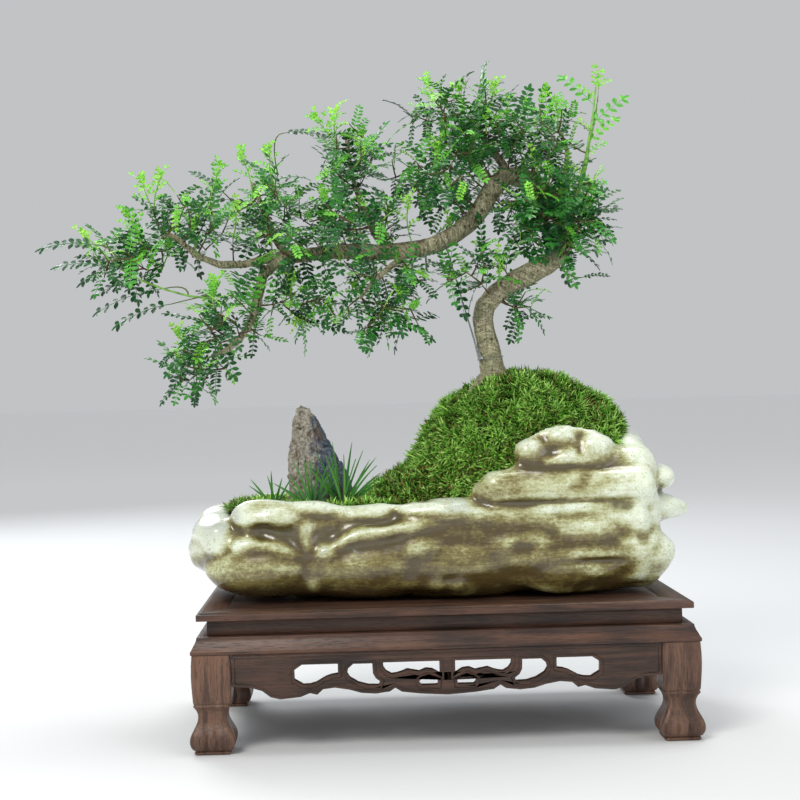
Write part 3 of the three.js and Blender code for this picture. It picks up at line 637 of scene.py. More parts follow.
def wornClay(pot):
    # water-worn dents, ledges and pits in the clay
    points = corners(pot)
    outward = cornerNormals(pot)
    moved = np.empty(len(points))
    for i, (p, o) in enumerate(zip(points, outward)):
        q = Vector((p[0] * 17, p[1] * 24, p[2] * 44))
        broad = noise.noise(q)
        ledge = noise.noise(Vector((p[0] * 14 + 7, p[1] * 14, p[2] * 95)))
        small = noise.noise(Vector((p[0] * 60, p[1] * 70, p[2] * 90 + 3)))
        pit = max(0.0, noise.noise(Vector((p[0] * 34 + 5, p[1] * 34, p[2] * 40))) - 0.33)
        moved[i] = broad * 2.0 + ledge * 1.1 + small * 0.5 - pit * 8
        if abs(p[1]) > 0.04:
            across, up = (p[0] - standX) / mm, (p[2] - standTop) / mm
            for x, z, reachX, reachZ, depth in potShape["hollows"]:
                moved[i] -= depth * math.exp(-(((across - x) / reachX) ** 2) - ((up - z) / reachZ) ** 2)
    setCorners(pot, points + outward * (moved * mm)[:, None])


def keepAboveStand(pot):
    points = corners(pot)
    points[:, 2] = np.maximum(points[:, 2], standTop + 0.0003)
    low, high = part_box("pot")
    points[:, 0] = np.clip(points[:, 0], low.x - 0.006, high.x + 0.006)
    setCorners(pot, points)


def neighbourMean(piece, values, rounds):
    # each corner's value averaged with its neighbours', a number of times over
    ends = np.empty(len(piece.data.edges) * 2, np.int64)
    piece.data.edges.foreach_get("vertices", ends)
    first, second = ends[0::2], ends[1::2]
    count = len(piece.data.vertices)
    ways = np.bincount(first, minlength=count) + np.bincount(second, minlength=count)
    values = np.array(values, float)
    for _ in range(rounds):
        total = np.stack([np.bincount(first, values[second, k], count) + np.bincount(second, values[first, k], count)
                          for k in range(values.shape[1])], 1)
        values = 0.5 * values + 0.5 * total / np.maximum(ways, 1)[:, None]
    return values


def glazeNumbers(pot):
    # how far each spot stands out of its surroundings, and from it a glaze tone with painted light and an amount of
    # painted shade for the hollows
    points = corners(pot)
    outward = cornerNormals(pot)
    near = ((points - neighbourMean(pot, points, 8)) * outward).sum(1) / mm
    far = ((points - neighbourMean(pot, points, 60)) * outward).sum(1) / mm
    stands = neighbourMean(pot, np.clip(near * 2.0 + far * 0.14, -1.2, 1.2)[:, None], 2)[:, 0]
    x = (points[:, 0] - standX) / mm
    z = (points[:, 2] - standTop) / mm
    # paler over the upper right, at the right end and at the upper left end, and in a band high on the walls
    ends = (np.clip((x - 50) / 70, 0, 1) * np.clip((z - 44) / 22, 0, 1) * 0.34 + np.clip((x - 150) / 24, 0, 1) * 0.4
            + np.clip((-x - 160) / 36, 0, 1) * np.clip((z - 30) / 16, 0, 1) * 0.6)
    high = np.clip((z - 62) / 18, 0, 1) * 0.24 - np.clip((z - 84) / 10, 0, 1) * 0.3
    # painted light from above: upward faces are made paler; standing-out ridges are paler too, partly glaze breaking
    # thin there and partly painted highlight
    facing = np.clip(outward[:, 2], -1, 1)
    tone = 0.09 + 0.32 * facing + 0.44 * stands + ends + high
    addNumbers(pot, "glazeToneWithPaintedLight", np.clip(tone, -0.1, 1))
    # painted shade: how strongly the hollows are darkened in the glaze
    addNumbers(pot, "hollowPaintedShade", np.clip(-stands * 1.3 - 0.25, 0, 1))


# cream and white carry the painted light and highlights of the tone, shade is painted shade in the hollows, lilac is a
# painted sheen
glazeColour = {
    "brown": paint(80, 66, 30), "olive": paint(128, 118, 66), "cream": paint(184, 186, 138),
    "white": paint(228, 236, 214), "shade": paint(84, 80, 54), "iron": paint(84, 66, 40), "paintedLilacSheen": paint(176, 176, 190),
}


def makeGlaze():
    c = glazeColour
    material, n, shader = newMaterial("celadonGlaze", Coat_Weight=0.7, Coat_Roughness=0.13, Specular_IOR_Level=0.5)
    where = objectPlace(n)
    tone = n.add("ShaderNodeAttribute", {"attribute_name": "glazeToneWithPaintedLight"}).outputs["Fac"]
    hollow = n.add("ShaderNodeAttribute", {"attribute_name": "hollowPaintedShade"}).outputs["Fac"]
    patches = n.noise(where, 52, detail=7, rough=0.68)
    streaks = n.noise(n.moved(where, scale=(22, 60, 300)), 1.0, detail=5, rough=0.66)
    speckle = n.noise(where, 620, detail=3, rough=0.7)
    cloud = n.noise(where, 11, detail=2)
    shift = n.math("ADD", n.math("MULTIPLY", n.math("SUBTRACT", patches, 0.5), 0.8),
                   n.math("MULTIPLY", n.math("SUBTRACT", streaks, 0.5), 0.5))
    shift = n.math("ADD", shift, n.math("MULTIPLY", n.math("SUBTRACT", cloud, 0.5), 0.35))
    grain = n.noise(n.moved(where, scale=(240, 300, 420)), 1.0, detail=4, rough=0.7)
    shift = n.math("ADD", shift, n.math("MULTIPLY", n.math("SUBTRACT", grain, 0.5), 0.9))
    level = n.math("ADD", tone, shift)
    # the tone holds painted light, so the cream and white end of this ramp is partly painted highlight
    base = n.ramp(level, (0.0, c["brown"]), (0.32, c["olive"]), (0.58, c["cream"]), (0.95, c["white"]))
    mottled = n.mix(n.fit(speckle, 0.5, 0.75, 0, 0.55), base, c["brown"], "MULTIPLY")
    specks = n.fit(n.math("ADD", speckle, n.math("MULTIPLY", patches, 0.4)), 0.78, 0.9, 0, 0.6, smooth=True)
    brownSpecks = n.mix(specks, base, c["iron"])
    softened = n.mix(n.fit(level, 0.2, 0.75, 0.6, 0.08), brownSpecks, mottled)
    # painted shade: the hollows are darkened towards the shade colour
    shaded = n.mix(n.fit(n.math("MULTIPLY", hollow, n.fit(patches, 0.35, 0.65, 0.4, 1.3)), 0.25, 1.0, 0, 0.6), softened, c["shade"])
    # painted sheen: a lilac cast multiplied in where the glaze tone is palest
    paintedLilacSheen = n.math("MULTIPLY", n.fit(cloud, 0.52, 0.66, 0, 0.6, smooth=True), n.fit(tone, 0.45, 0.8))
    tinted = n.mix(paintedLilacSheen, shaded, c["paintedLilacSheen"], "MULTIPLY")
    n.tree.links.new(tinted, shader.inputs["Base Color"])
    n.tree.links.new(n.fit(streaks, 0.3, 0.7, 0.2, 0.4), shader.inputs["Roughness"])
    height = n.math("ADD", n.math("MULTIPLY", streaks, 0.5), n.math("MULTIPLY", patches, 0.8))
    height = n.math("ADD", height, n.math("MULTIPLY", grain, 0.12))
    n.tree.links.new(n.bump(height, 0.22, 0.0016), shader.inputs["Normal"])
    return material


def makeScreen():
    # mesh over the drain hole
    material, n, shader = newMaterial("plasticMesh")
    where = objectPlace(n)
    weave = n.add("ShaderNodeTexChecker", Vector=where, Scale=900.0).outputs["Fac"]
    worn = n.noise(where, 300)
    n.tree.links.new(n.ramp(n.math("ADD", n.math("MULTIPLY", weave, 0.4), n.math("MULTIPLY", worn, 0.4)),
                            (0.1, paint(16, 16, 16)), (0.8, paint(52, 52, 50))), shader.inputs["Base Color"])
    n.tree.links.new(n.fit(worn, 0.3, 0.7, 0.45, 0.65), shader.inputs["Roughness"])
    n.tree.links.new(n.bump(weave, 0.5, 0.0004), shader.inputs["Normal"])
    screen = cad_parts["drain_screen"]
    screen.data.materials.clear()
    screen.data.materials.append(material)


def makeSoil():
    material, n, shader = newMaterial("pottingSoil", Specular_IOR_Level=0.2)
    where = objectPlace(n)
    crumbs = n.noise(where, 260, detail=6, rough=0.7)
    grit = n.add("ShaderNodeTexVoronoi", Vector=where, Scale=420.0).outputs["Distance"]
    n.tree.links.new(n.ramp(crumbs, (0.3, paint(24, 17, 11)), (0.55, paint(52, 38, 25)), (0.8, paint(98, 80, 58))),
                     shader.inputs["Base Color"])
    n.tree.links.new(n.fit(crumbs, 0.2, 0.8, 0.8, 1.0), shader.inputs["Roughness"])
    n.tree.links.new(n.bump(n.math("ADD", crumbs, grit), 0.8, 0.002), shader.inputs["Normal"])
    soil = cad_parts["soil"]
    soil.data.materials.clear()
    soil.data.materials.append(material)


makePot()
makeScreen()
makeSoil()
# What repeats: one blade or leaflet is modelled, and its copies are laid into one mesh

def modelBlade(name, columns, rows, widths, cup, arch):
    # a thin pointed blade, 1 long and 1 wide, running up +y with its face towards +z
    deselectAll()
    bpy.ops.mesh.primitive_grid_add(x_subdivisions=columns, y_subdivisions=rows, size=1, location=(0, 0.5, 0))
    blade = bpy.context.object
    blade.name = name
    bpy.ops.object.transform_apply(location=True, rotation=True, scale=True)
    for row in range(rows + 1):
        along = row / rows
        selectCorners(blade, lambda co: abs(co.y - along) < 0.01)
        bpy.ops.transform.resize(value=(widths[row], 1, 1), center_override=(0, 0, 0))
        bpy.ops.transform.translate(value=(0, 0, -arch * along * along))
        bpy.ops.object.mode_set(mode="OBJECT")
    if cup:
        selectCorners(blade, lambda co: abs(co.x) < 0.001)
        bpy.ops.transform.translate(value=(0, 0, -cup))
        bpy.ops.object.mode_set(mode="OBJECT")
    points = corners(blade)
    faces = [tuple(face.vertices) for face in blade.data.polygons]
    bpy.data.objects.remove(blade)
    return points, faces


class Heap:
    # many copies of small shapes in one mesh, with a tint and a place along each copy

    def __init__(self):
        self.points, self.faces, self.marks, self.count = [], [], [], 0

    def put(self, points, faces, tints, alongs):
        self.points.append(points)
        self.marks.append(np.stack([tints, alongs], 1))
        self.faces.extend(tuple(i + self.count for i in face) for face in faces)
        self.count += len(points)

    def blade(self, shape, base, tip, face, width, tint):
        # a blade from base to tip, its flat side towards face
        points, faces = shape
        along = np.asarray(tip) - np.asarray(base)
        length = np.linalg.norm(along)
        along = along / length
        face = np.asarray(face) - np.dot(face, along) * along
        face = face / max(np.linalg.norm(face), 1e-9)
        side = np.cross(along, face)
        laid = base + points[:, :1] * width * side + points[:, 1:2] * length * along + points[:, 2:] * length * face
        self.put(laid, faces, tint + points[:, 0] * 0.02, points[:, 1])

    def stem(self, route, radii, tint, sides=4):
        # a tapering stalk through the route's points
        route = np.asarray(route, float)
        ways = np.gradient(route, axis=0)
        ways /= np.maximum(np.linalg.norm(ways, axis=1), 1e-9)[:, None]
        turn = np.cross(ways, (0.31, 0.22, 0.92))
        turn /= np.maximum(np.linalg.norm(turn, axis=1), 1e-9)[:, None]
        other = np.cross(ways, turn)
        angles = np.arange(sides) * 2 * math.pi / sides
        radii = np.interp(np.linspace(0, 1, len(route)), np.linspace(0, 1, len(radii)), radii)
        ring = (np.cos(angles)[None, :, None] * turn[:, None] + np.sin(angles)[None, :, None] * other[:, None])
        points = (route[:, None] + ring * radii[:, None, None]).reshape(-1, 3)
        points = np.vstack([points, route[-1] + ways[-1] * radii[-1]])
        faces = [(r * sides + k, r * sides + (k + 1) % sides, (r + 1) * sides + (k + 1) % sides, (r + 1) * sides + k)
                 for r in range(len(route) - 1) for k in range(sides)]
        last = (len(route) - 1) * sides
        faces += [(last + k, last + (k + 1) % sides, len(points) - 1) for k in range(sides)]
        tints = np.append(np.tile(tint + 0.01 * np.sin(angles), len(route)), tint)
        alongs = np.append(np.repeat(np.linspace(0, 0.98, len(route)), sides), 1.0)
        self.put(points, faces, tints, alongs)

    def build(self, name):
        data = bpy.data.meshes.new(name)
        data.from_pydata(np.vstack(self.points).tolist(), [], self.faces)
        layer = data.uv_layers.new(name="OFBake")
        loops = np.empty(len(data.loops), np.int64)
        data.loops.foreach_get("vertex_index", loops)
        marks = np.clip(np.vstack(self.marks)[loops] * 0.92 + 0.04, 0.002, 0.998)
        layer.data.foreach_set("uv", marks.ravel().astype(np.float32))
        piece = bpy.data.objects.new(name, data)
        bpy.context.scene.collection.objects.link(piece)
        return piece


def tintPlace(n):
    # the tint and the place along the blade that Heap wrote
    place = n.add("ShaderNodeUVMap", {"uv_map": "OFBake"}).outputs[0]
    split = n.add("ShaderNodeSeparateXYZ", Vector=place)
    return place, split.outputs[0], split.outputs[1]


def unit(vector):
    vector = np.asarray(vector, float)
    return vector / max(np.linalg.norm(vector), 1e-9)


# Moss: a dark bumpy cushion with thousands of small curved shoots on it

mossShape = {
    "tufts": 9600, "shoots": 7, "length": (5.5, 11.5), "width": 1.75, "lean": 1.55,
    "underVoxel": 3.0, "lumps": 3.2, "borders": (20, 100),
}


def makeMoss():
    s = mossShape
    rng = np.random.default_rng(11)
    under = copyOfNode("moss_cover", "moss_cushion", flatten=0)
    applyModifier(under, "REMESH", mode="VOXEL", voxel_size=s["underVoxel"] * mm)
    applyModifier(under, "SMOOTH", factor=0.6, iterations=6)
    points, outward = corners(under), cornerNormals(under)
    lumps = np.array([noise.noise(Vector(p * 48)) + 0.5 * noise.noise(Vector(p * 130)) for p in points])
    setCorners(under, points + outward * (np.clip(outward[:, 2:3] + 0.4, 0, 1) * (lumps[:, None] * s["lumps"] - 1.2) * mm))
    under.data.calc_loop_triangles()
    triangles = np.array([t.vertices for t in under.data.loop_triangles])
    points = corners(under)
    normals = np.array([under.data.polygons[t.polygon_index].normal for t in under.data.loop_triangles])
    areas = np.array([t.area for t in under.data.loop_triangles])
    grows = (normals[:, 2] > -0.12) & (points[triangles].mean(1)[:, 2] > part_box("moss_cover")[0].z + 0.0085)
    chance = np.where(grows, areas * (1 + 0.5 * (normals[:, 2] < 0.6)), 0)
    picked = rng.choice(len(triangles), s["tufts"], p=chance / chance.sum())
    share = rng.random((s["tufts"], 2))
    share = np.where(share.sum(1, keepdims=True) > 1, 1 - share, share)
    a, b, c = (points[triangles[picked, k]] for k in range(3))
    spots = a + share[:, :1] * (b - a) + share[:, 1:] * (c - a)
    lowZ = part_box("moss_cover")[0].z
    heaps = {"moss_shoots_left": Heap(), "moss_shoots_middle": Heap(), "moss_shoots_right": Heap()}
    borders = s["borders"]
    shoot = modelBlade("mossShoot", 1, 3, (0.75, 1.0, 0.7, 0.12), 0, 0.28)
    for spot, grain in zip(spots, normals[picked]):
        rise = (spot[2] - lowZ) / mm
        clump = noise.noise(Vector(spot * 30)) * 0.5 + 0.5 * noise.noise(Vector(spot * 90 + 4))
        brown = np.clip(0.5 - clump * 0.9 - np.clip((rise - 30) / 70, 0, 1) * 0.34, 0, 0.85) * 0.5
        heap = list(heaps.values())[sum(spot[0] > standX + border * mm for border in borders)]
        lift = unit(grain * 0.8 + np.array((0, 0, 0.5)) + rng.normal(0, 0.25, 3))
        size = 0.82 + 0.36 * (clump + 0.5)
        for _ in range(s["shoots"]):
            away = unit(rng.normal(0, 1, 3))
            away = unit(away - away.dot(lift) * lift)
            lean = rng.uniform(0.15, s["lean"])
            length = rng.uniform(*s["length"]) * mm * size
            base = spot + away * rng.uniform(0, 1.6) * mm - lift * 0.6 * mm
            way = unit(lift + away * lean)
            if rng.random() < brown:
                tint = rng.uniform(0.0, 0.2)
            else:
                tint = np.clip(0.56 + clump * 0.95 + rng.normal(0, 0.28), 0.28, 1.0)
            heap.blade(shoot, base, base + way * length, lift - away * 0.6, s["width"] * mm * rng.uniform(0.7, 1.2), tint)
    leafy = makeMossGreen()
    for name, heap in heaps.items():
        piece = heap.build(name)
        print(name, len(piece.data.polygons))
        finishPiece(piece, leafy, "moss", smooth=0)
        piece.data.shade_smooth()
    finishPiece(under, makeMossEarth(), "moss", "moss_cover", smooth=60)


mossColour = {
    "dead": paint(120, 92, 52), "tan": paint(150, 128, 72), "deep": paint(24, 62, 14), "green": paint(78, 150, 36),
    "bright": paint(140, 212, 66), "lime": paint(214, 246, 140),
}


def makeMossGreen():
    c = mossColour
    material, n, shader = newMaterial("mossShoots", Specular_IOR_Level=0.3)
    where, tint, along = tintPlace(n)
    body = n.ramp(tint, (0.05, c["dead"]), (0.22, c["tan"]), (0.34, c["deep"]), (0.6, c["green"]), (0.95, c["bright"]))
    # the tips run paler, partly fresher growth and partly painted light
    tip = n.ramp(tint, (0.05, c["tan"]), (0.3, c["green"]), (0.56, c["bright"]), (0.84, c["lime"]))
    # painted shade: each shoot darkens almost to black towards its foot, where the shoots shade each other
    root = n.mix(n.fit(along, 0.0, 0.62, 0.92, 0.0), body, paint(16, 32, 10))
    colour = n.mix(n.fit(along, 0.35, 0.95, 0.0, 0.85), root, tip)
    fleck = n.noise(n.moved(where, scale=(60, 9, 1)), 1.0, detail=3)
    n.tree.links.new(n.mix(n.fit(fleck, 0.4, 0.7, 0, 0.3), colour, c["deep"]), shader.inputs["Base Color"])
    n.tree.links.new(n.fit(fleck, 0.3, 0.7, 0.42, 0.62), shader.inputs["Roughness"])
    n.tree.links.new(n.bump(fleck, 0.3, 0.0003), shader.inputs["Normal"])
    return material


def makeMossEarth():
    material, n, shader = newMaterial("mossCushion", Specular_IOR_Level=0.2)
    where = objectPlace(n)
    felt = n.noise(where, 420, detail=5, rough=0.7)
    patch = n.noise(where, 40, detail=3)
    colour = n.ramp(felt, (0.3, paint(14, 26, 8)), (0.55, paint(34, 66, 18)), (0.78, paint(84, 128, 44)))
    n.tree.links.new(n.mix(n.fit(patch, 0.48, 0.66, 0, 0.75), colour, paint(52, 40, 22)), shader.inputs["Base Color"])
    n.tree.links.new(n.fit(felt, 0.2, 0.8, 0.75, 0.98), shader.inputs["Roughness"])
    n.tree.links.new(n.bump(felt, 0.9, 0.002), shader.inputs["Normal"])
    return material


# Stone

stoneShape = {"skin": 1.1, "chips": 5.0, "cracks": 2.2, "facets": 1.1, "grain": 0.5}


def makeStone():
    s = stoneShape
    stone = copyOfNode("accent_stone", "upright_stone")
    applyModifier(stone, "BEVEL", width=0.8 * mm, segments=2)
    applyModifier(stone, "REMESH", mode="VOXEL", voxel_size=s["skin"] * mm)
    applyModifier(stone, "SMOOTH", factor=0.5, iterations=1)
    points = corners(stone)
    rise = np.clip((points[:, 2] - points[:, 2].min()) / np.ptp(points[:, 2]), 0, 1)
    points[:, 0] -= (2.0 + 5.0 * rise) * mm
    points[:, 2] += 3.5 * rise * mm
    setCorners(stone, points)
    points, outward = corners(stone), cornerNormals(stone)
    moved = np.empty(len(points))
    for i, p in enumerate(points):
        q = Vector((p[0] * 62, p[1] * 62, p[2] * 30)) + noise.noise_vector(Vector(p * 40)) * 0.35
        distances, _ = noise.voronoi(q)
        chips = distances[1] - distances[0]
        facet = noise.cell(Vector((p[0] * 95 + p[2] * 30, p[1] * 95 + p[2] * 18, p[2] * 42 - p[0] * 30)))
        tilt = noise.noise(Vector((p[0] * 25, p[1] * 25 + 9, p[2] * 16)))
        crack = abs(noise.noise(Vector((p[0] * 70 + p[2] * 30, p[1] * 70, p[2] * 26 - p[0] * 40))))
        grain = noise.noise(Vector(p * 420)) + 0.6 * noise.noise(Vector(p * 900))
        moved[i] = (tilt * 2.2 + facet * s["facets"] - (0.35 - min(chips, 0.35)) * s["chips"] - max(0.0, 0.09 - crack) * 10 * s["cracks"]
                    + grain * s["grain"])
    setCorners(stone, points + outward * (moved[:, None] * mm))
    finishPiece(stone, makeStoneFace(stone), "stone", "accent_stone", smooth=24)


def makeStoneFace(stone):
    low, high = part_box("accent_stone")
    middle = (low + high) / 2
    material, n, shader = newMaterial("weatheredStone", Specular_IOR_Level=0.35)
    where = objectPlace(n)
    split = n.add("ShaderNodeSeparateXYZ", Vector=where)
    across = n.fit(split.outputs[0], middle.x - 0.022, middle.x + 0.006)
    warp = n.noise(where, 55, detail=6, rough=0.68)
    fine = n.noise(where, 330, detail=5, rough=0.75)
    vein = n.noise(n.moved(where, scale=(90, 90, 42), turn=(0, 0.5, 0)), 1.0, detail=5, distortion=1.4)
    side = n.fit(n.math("ADD", across, n.math("MULTIPLY", n.math("SUBTRACT", warp, 0.5), 1.9)), 0.32, 0.78, smooth=True)
    warm = n.ramp(fine, (0.28, paint(84, 74, 62)), (0.48, paint(140, 134, 120)), (0.74, paint(208, 204, 192)))
    cool = n.ramp(fine, (0.28, paint(34, 40, 50)), (0.5, paint(74, 84, 98)), (0.76, paint(148, 158, 172)))
    colour = n.mix(side, warm, cool)
    rust = n.fit(n.math("ADD", vein, n.math("MULTIPLY", warp, 0.5)), 0.8, 0.9, 0, 0.75, smooth=True)
    stained = n.mix(rust, colour, paint(92, 66, 42))
    dark = n.mix(n.fit(vein, 0.24, 0.38, 0.75, 0), stained, paint(40, 38, 40))
    pale = n.mix(n.fit(warp, 0.64, 0.74, 0, 0.55, smooth=True), dark, paint(206, 198, 192))
    n.tree.links.new(pale, shader.inputs["Base Color"])
    n.tree.links.new(n.fit(fine, 0.3, 0.7, 0.6, 0.88), shader.inputs["Roughness"])
    n.tree.links.new(n.bump(n.math("ADD", fine, n.math("MULTIPLY", vein, 0.6)), 0.7, 0.0018), shader.inputs["Normal"])
    return material


# Grass: three tufts of narrow blades folded along the middle

grassShape = {
    # node: blades, longest, fan to the left and to the right, crown's reach
    "grass_tuft_left": (9, 38, -1.3, 0.45, 7.5),
    "grass_tuft_middle": (13, 47, -0.8, 0.6, 10.0),
    "grass_tuft_right": (16, 62, -0.55, 0.85, 12.0),
    "wide": 2.2,
}


def makeGrass():
    rng = np.random.default_rng(23)
    blade = modelBlade("grassBlade", 2, 6, (0.55, 0.85, 1.0, 0.95, 0.78, 0.48, 0.06), 0.02, 0.0)
    material = makeGrassGreen()
    for node in ("grass_tuft_left", "grass_tuft_middle", "grass_tuft_right"):
        blades, longest, leftFan, rightFan, reach = grassShape[node]
        low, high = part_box(node)
        middle = np.array(((low.x + high.x) / 2, (low.y + high.y) / 2, 0))
        # the crown stands in the middle of the CAD tuft's foot
        foot = corners(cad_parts[node])
        foot = foot[foot[:, 2] < low.z + 0.002].mean(0)
        ground = low.z + 11 * mm
        heap = Heap()
        for k in range(blades):
            share = (k + rng.uniform(0.2, 0.8)) / blades
            lean = leftFan + (rightFan - leftFan) * share
            depth = rng.uniform(-0.45, 0.45)
            length = longest * (1 - 0.30 * abs(lean)) * rng.uniform(0.72, 1.04) * mm
            base = np.array((foot[0] + lean * reach * 0.55 * mm + rng.normal(0, 1.2) * mm,
                             foot[1] + rng.uniform(-0.5, 0.5) * reach * mm, ground))
            way = unit((math.sin(lean), depth * 0.8, math.cos(lean)))
            bow = unit((math.sin(lean * 1.5), depth, math.cos(lean * 1.5) - 0.05))
            points, faces = blade
            along = points[:, 1:2]
            route = base + way * along * length * (1 - along * 0.5) + bow * along * along * length * 0.5
            facing = unit((rng.normal(0, 0.5), -1, 0.25 + rng.normal(0, 0.3)))
            side = unit(np.cross(way, facing))
            face = np.cross(side, way)
            laid = route + points[:, :1] * grassShape["wide"] * mm * rng.uniform(0.75, 1.1) * side + \
                points[:, 2:] * length * face
            heap.put(laid, faces, np.clip(rng.normal(0.5, 0.2), 0.05, 0.95) + points[:, 0] * 0.02, points[:, 1])
        piece = heap.build(node + "_blades")
        applyModifier(piece, "SOLIDIFY", thickness=0.22 * mm, offset=0)
        finishPiece(piece, material, "grass", node, smooth=50)


def makeGrassGreen():
    material, n, shader = newMaterial("grassBlades", Specular_IOR_Level=0.4)
    where, tint, along = tintPlace(n)
    dark = n.ramp(tint, (0.1, paint(30, 92, 40)), (0.5, paint(52, 124, 44)), (0.9, paint(104, 158, 60)))
    tip = n.mix(n.fit(along, 0.1, 0.9, 0.0, 0.55), dark, paint(116, 184, 92))
    rib = n.noise(n.moved(where, scale=(420, 3, 1)), 1.0, detail=3)
    base = n.mix(n.fit(along, 0.0, 0.16, 0.6, 0), tip, paint(150, 168, 96))
    n.tree.links.new(n.mix(n.fit(rib, 0.42, 0.66, 0, 0.35), base, paint(24, 76, 26)), shader.inputs["Base Color"])
    n.tree.links.new(n.fit(rib, 0.3, 0.7, 0.32, 0.5), shader.inputs["Roughness"])
    n.tree.links.new(n.bump(rib, 0.4, 0.0004), shader.inputs["Normal"])
    return material


makeMoss()
print("moss done")
makeStone()
makeGrass()
print("stone and grass done")
# Trunk and branches

trunkShape = {"greenFrom": 428, "greenLean": 0.222, "skin": 1.25, "lumps": 0.9, "stub": (54, 8, 494)}


def alongTrunk(piece):
    # how far each corner lies from the trunk's foot, measured along the wood
    points = corners(piece)
    near = [[] for _ in points]
    for edge in piece.data.edges:
        a, b = edge.vertices
        gap = float(np.linalg.norm(points[a] - points[b]))
        near[a].append((b, gap))
        near[b].append((a, gap))
    far = np.full(len(points), np.inf)
    queue = [(0.0, int(i)) for i in np.nonzero(points[:, 2] < points[:, 2].min() + 0.004)[0]]
    for _, i in queue:
        far[i] = 0
    while queue:
        gone, i = heapq.heappop(queue)
        if gone > far[i]:
            continue
        for j, gap in near[i]:
            if gone + gap < far[j]:
                far[j] = gone + gap
                heapq.heappush(queue, (gone + gap, j))
    far[~np.isfinite(far)] = 0
    return neighbourMean(piece, far[:, None], 6)[:, 0]


def makeTrunk():
    s = trunkShape
    trunk = copyOfNode("trunk_and_branches", "bark_trunk", flatten=0)
    # a sawn stub on the outside of the high bend
    x, y, z = s["stub"]
    deselectAll()
    bpy.ops.mesh.primitive_cylinder_add(vertices=20, radius=4.6 * mm, depth=15 * mm, location=place(x, y, z),
                                        rotation=(0.35, -0.55, 0))
    stub = bpy.context.object
    bpy.ops.object.mode_set(mode="EDIT")
    bpy.ops.mesh.bevel(offset=1.1 * mm, segments=2)
    bpy.ops.object.mode_set(mode="OBJECT")
    makeActive(trunk, stub)
    bpy.ops.object.join()
    applyModifier(trunk, "REMESH", mode="VOXEL", voxel_size=s["skin"] * mm)
    applyModifier(trunk, "SMOOTH", factor=0.5, iterations=7)
    far = alongTrunk(trunk)
    points, outward = corners(trunk), cornerNormals(trunk)
    moved = np.empty(len(points))
    for i, p in enumerate(points):
        broad = noise.noise(Vector((p[0] * 34, p[1] * 34, p[2] * 34 + 5)))
        muscle = noise.noise(Vector((p[0] * 110, p[1] * 110, far[i] * 22)))
        ring = noise.noise(Vector((p[0] * 30, p[1] * 30 + 8, far[i] * 330)))
        moved[i] = broad * 1.1 + muscle * 0.8 + ring * 0.14
    setCorners(trunk, points + outward * (moved[:, None] * s["lumps"] * mm))
    addNumbers(trunk, "alongWood", far)
    # the thin upright shoot at the right is still green
    x, z = (points[:, 0] - standX) / mm, points[:, 2] / mm
    beside = np.clip((x - 121 - (z - s["greenFrom"]) * s["greenLean"] + 12) / 6, 0, 1)
    addNumbers(trunk, "greenWood", beside * np.clip((z - s["greenFrom"] - 28) / 30, 0, 1))
    finishPiece(trunk, makeBark(), "bark", "trunk_and_branches", smooth=0)
    makeActive(trunk)
    bpy.ops.object.shade_smooth()
    print("trunk:", len(trunk.data.polygons), "faces")
    return trunk


def makeBark():
    material, n, shader = newMaterial("speckledBark", Specular_IOR_Level=0.3)
    where = objectPlace(n)
    far = n.add("ShaderNodeAttribute", {"attribute_name": "alongWood"}).outputs["Fac"]
    split = n.add("ShaderNodeSeparateXYZ", Vector=where)
    turned = n.add("ShaderNodeCombineXYZ", X=n.math("MULTIPLY", split.outputs[0], 110.0),
                   Y=n.math("MULTIPLY", split.outputs[1], 110.0), Z=n.math("MULTIPLY", far, 520.0)).outputs[0]
    lenticels = n.noise(turned, 1.0, detail=4, rough=0.65)
    fibres = n.add("ShaderNodeCombineXYZ", X=n.math("MULTIPLY", split.outputs[0], 620.0),
                   Y=n.math("MULTIPLY", split.outputs[1], 620.0), Z=n.math("MULTIPLY", far, 60.0)).outputs[0]
    threads = n.noise(fibres, 1.0, detail=3)
    patch = n.noise(where, 60, detail=4)
    grit = n.noise(where, 900, detail=3, rough=0.7)
    tone = n.math("ADD", n.math("MULTIPLY", lenticels, 0.42), n.math("MULTIPLY", threads, 0.24))
    tone = n.math("ADD", tone, n.math("MULTIPLY", grit, 0.42))
    colour = n.ramp(tone, (0.38, paint(50, 44, 34)), (0.48, paint(118, 112, 88)), (0.56, paint(166, 160, 130)),
                    (0.68, paint(214, 208, 178)))
    pits = n.noise(n.moved(where, scale=(260, 260, 200)), 1.0, detail=3, rough=0.6)
    colour = n.mix(n.fit(pits, 0.58, 0.68, 0, 0.85, smooth=True), colour, paint(48, 40, 28))
    mossy = n.mix(n.fit(patch, 0.5, 0.66, 0, 0.45, smooth=True), colour, paint(104, 110, 78))
    aged = n.mix(n.fit(patch, 0.32, 0.44, 0.6, 0, smooth=True), mossy, paint(82, 62, 46))
    green = n.add("ShaderNodeAttribute", {"attribute_name": "greenWood"}).outputs["Fac"]
    shootSkin = n.ramp(tone, (0.4, paint(70, 112, 40)), (0.7, paint(150, 210, 90)))
    n.tree.links.new(n.mix(green, aged, shootSkin), shader.inputs["Base Color"])
    n.tree.links.new(n.fit(grit, 0.3, 0.7, 0.68, 0.92), shader.inputs["Roughness"])
    height = n.math("ADD", lenticels, n.math("ADD", n.math("MULTIPLY", threads, 0.5), n.math("MULTIPLY", grit, 0.35)))
    height = n.math("SUBTRACT", height, n.fit(pits, 0.58, 0.68, 0, 0.5, smooth=True))
    n.tree.links.new(n.bump(height, 0.8, 0.0016), shader.inputs["Normal"])
    return material


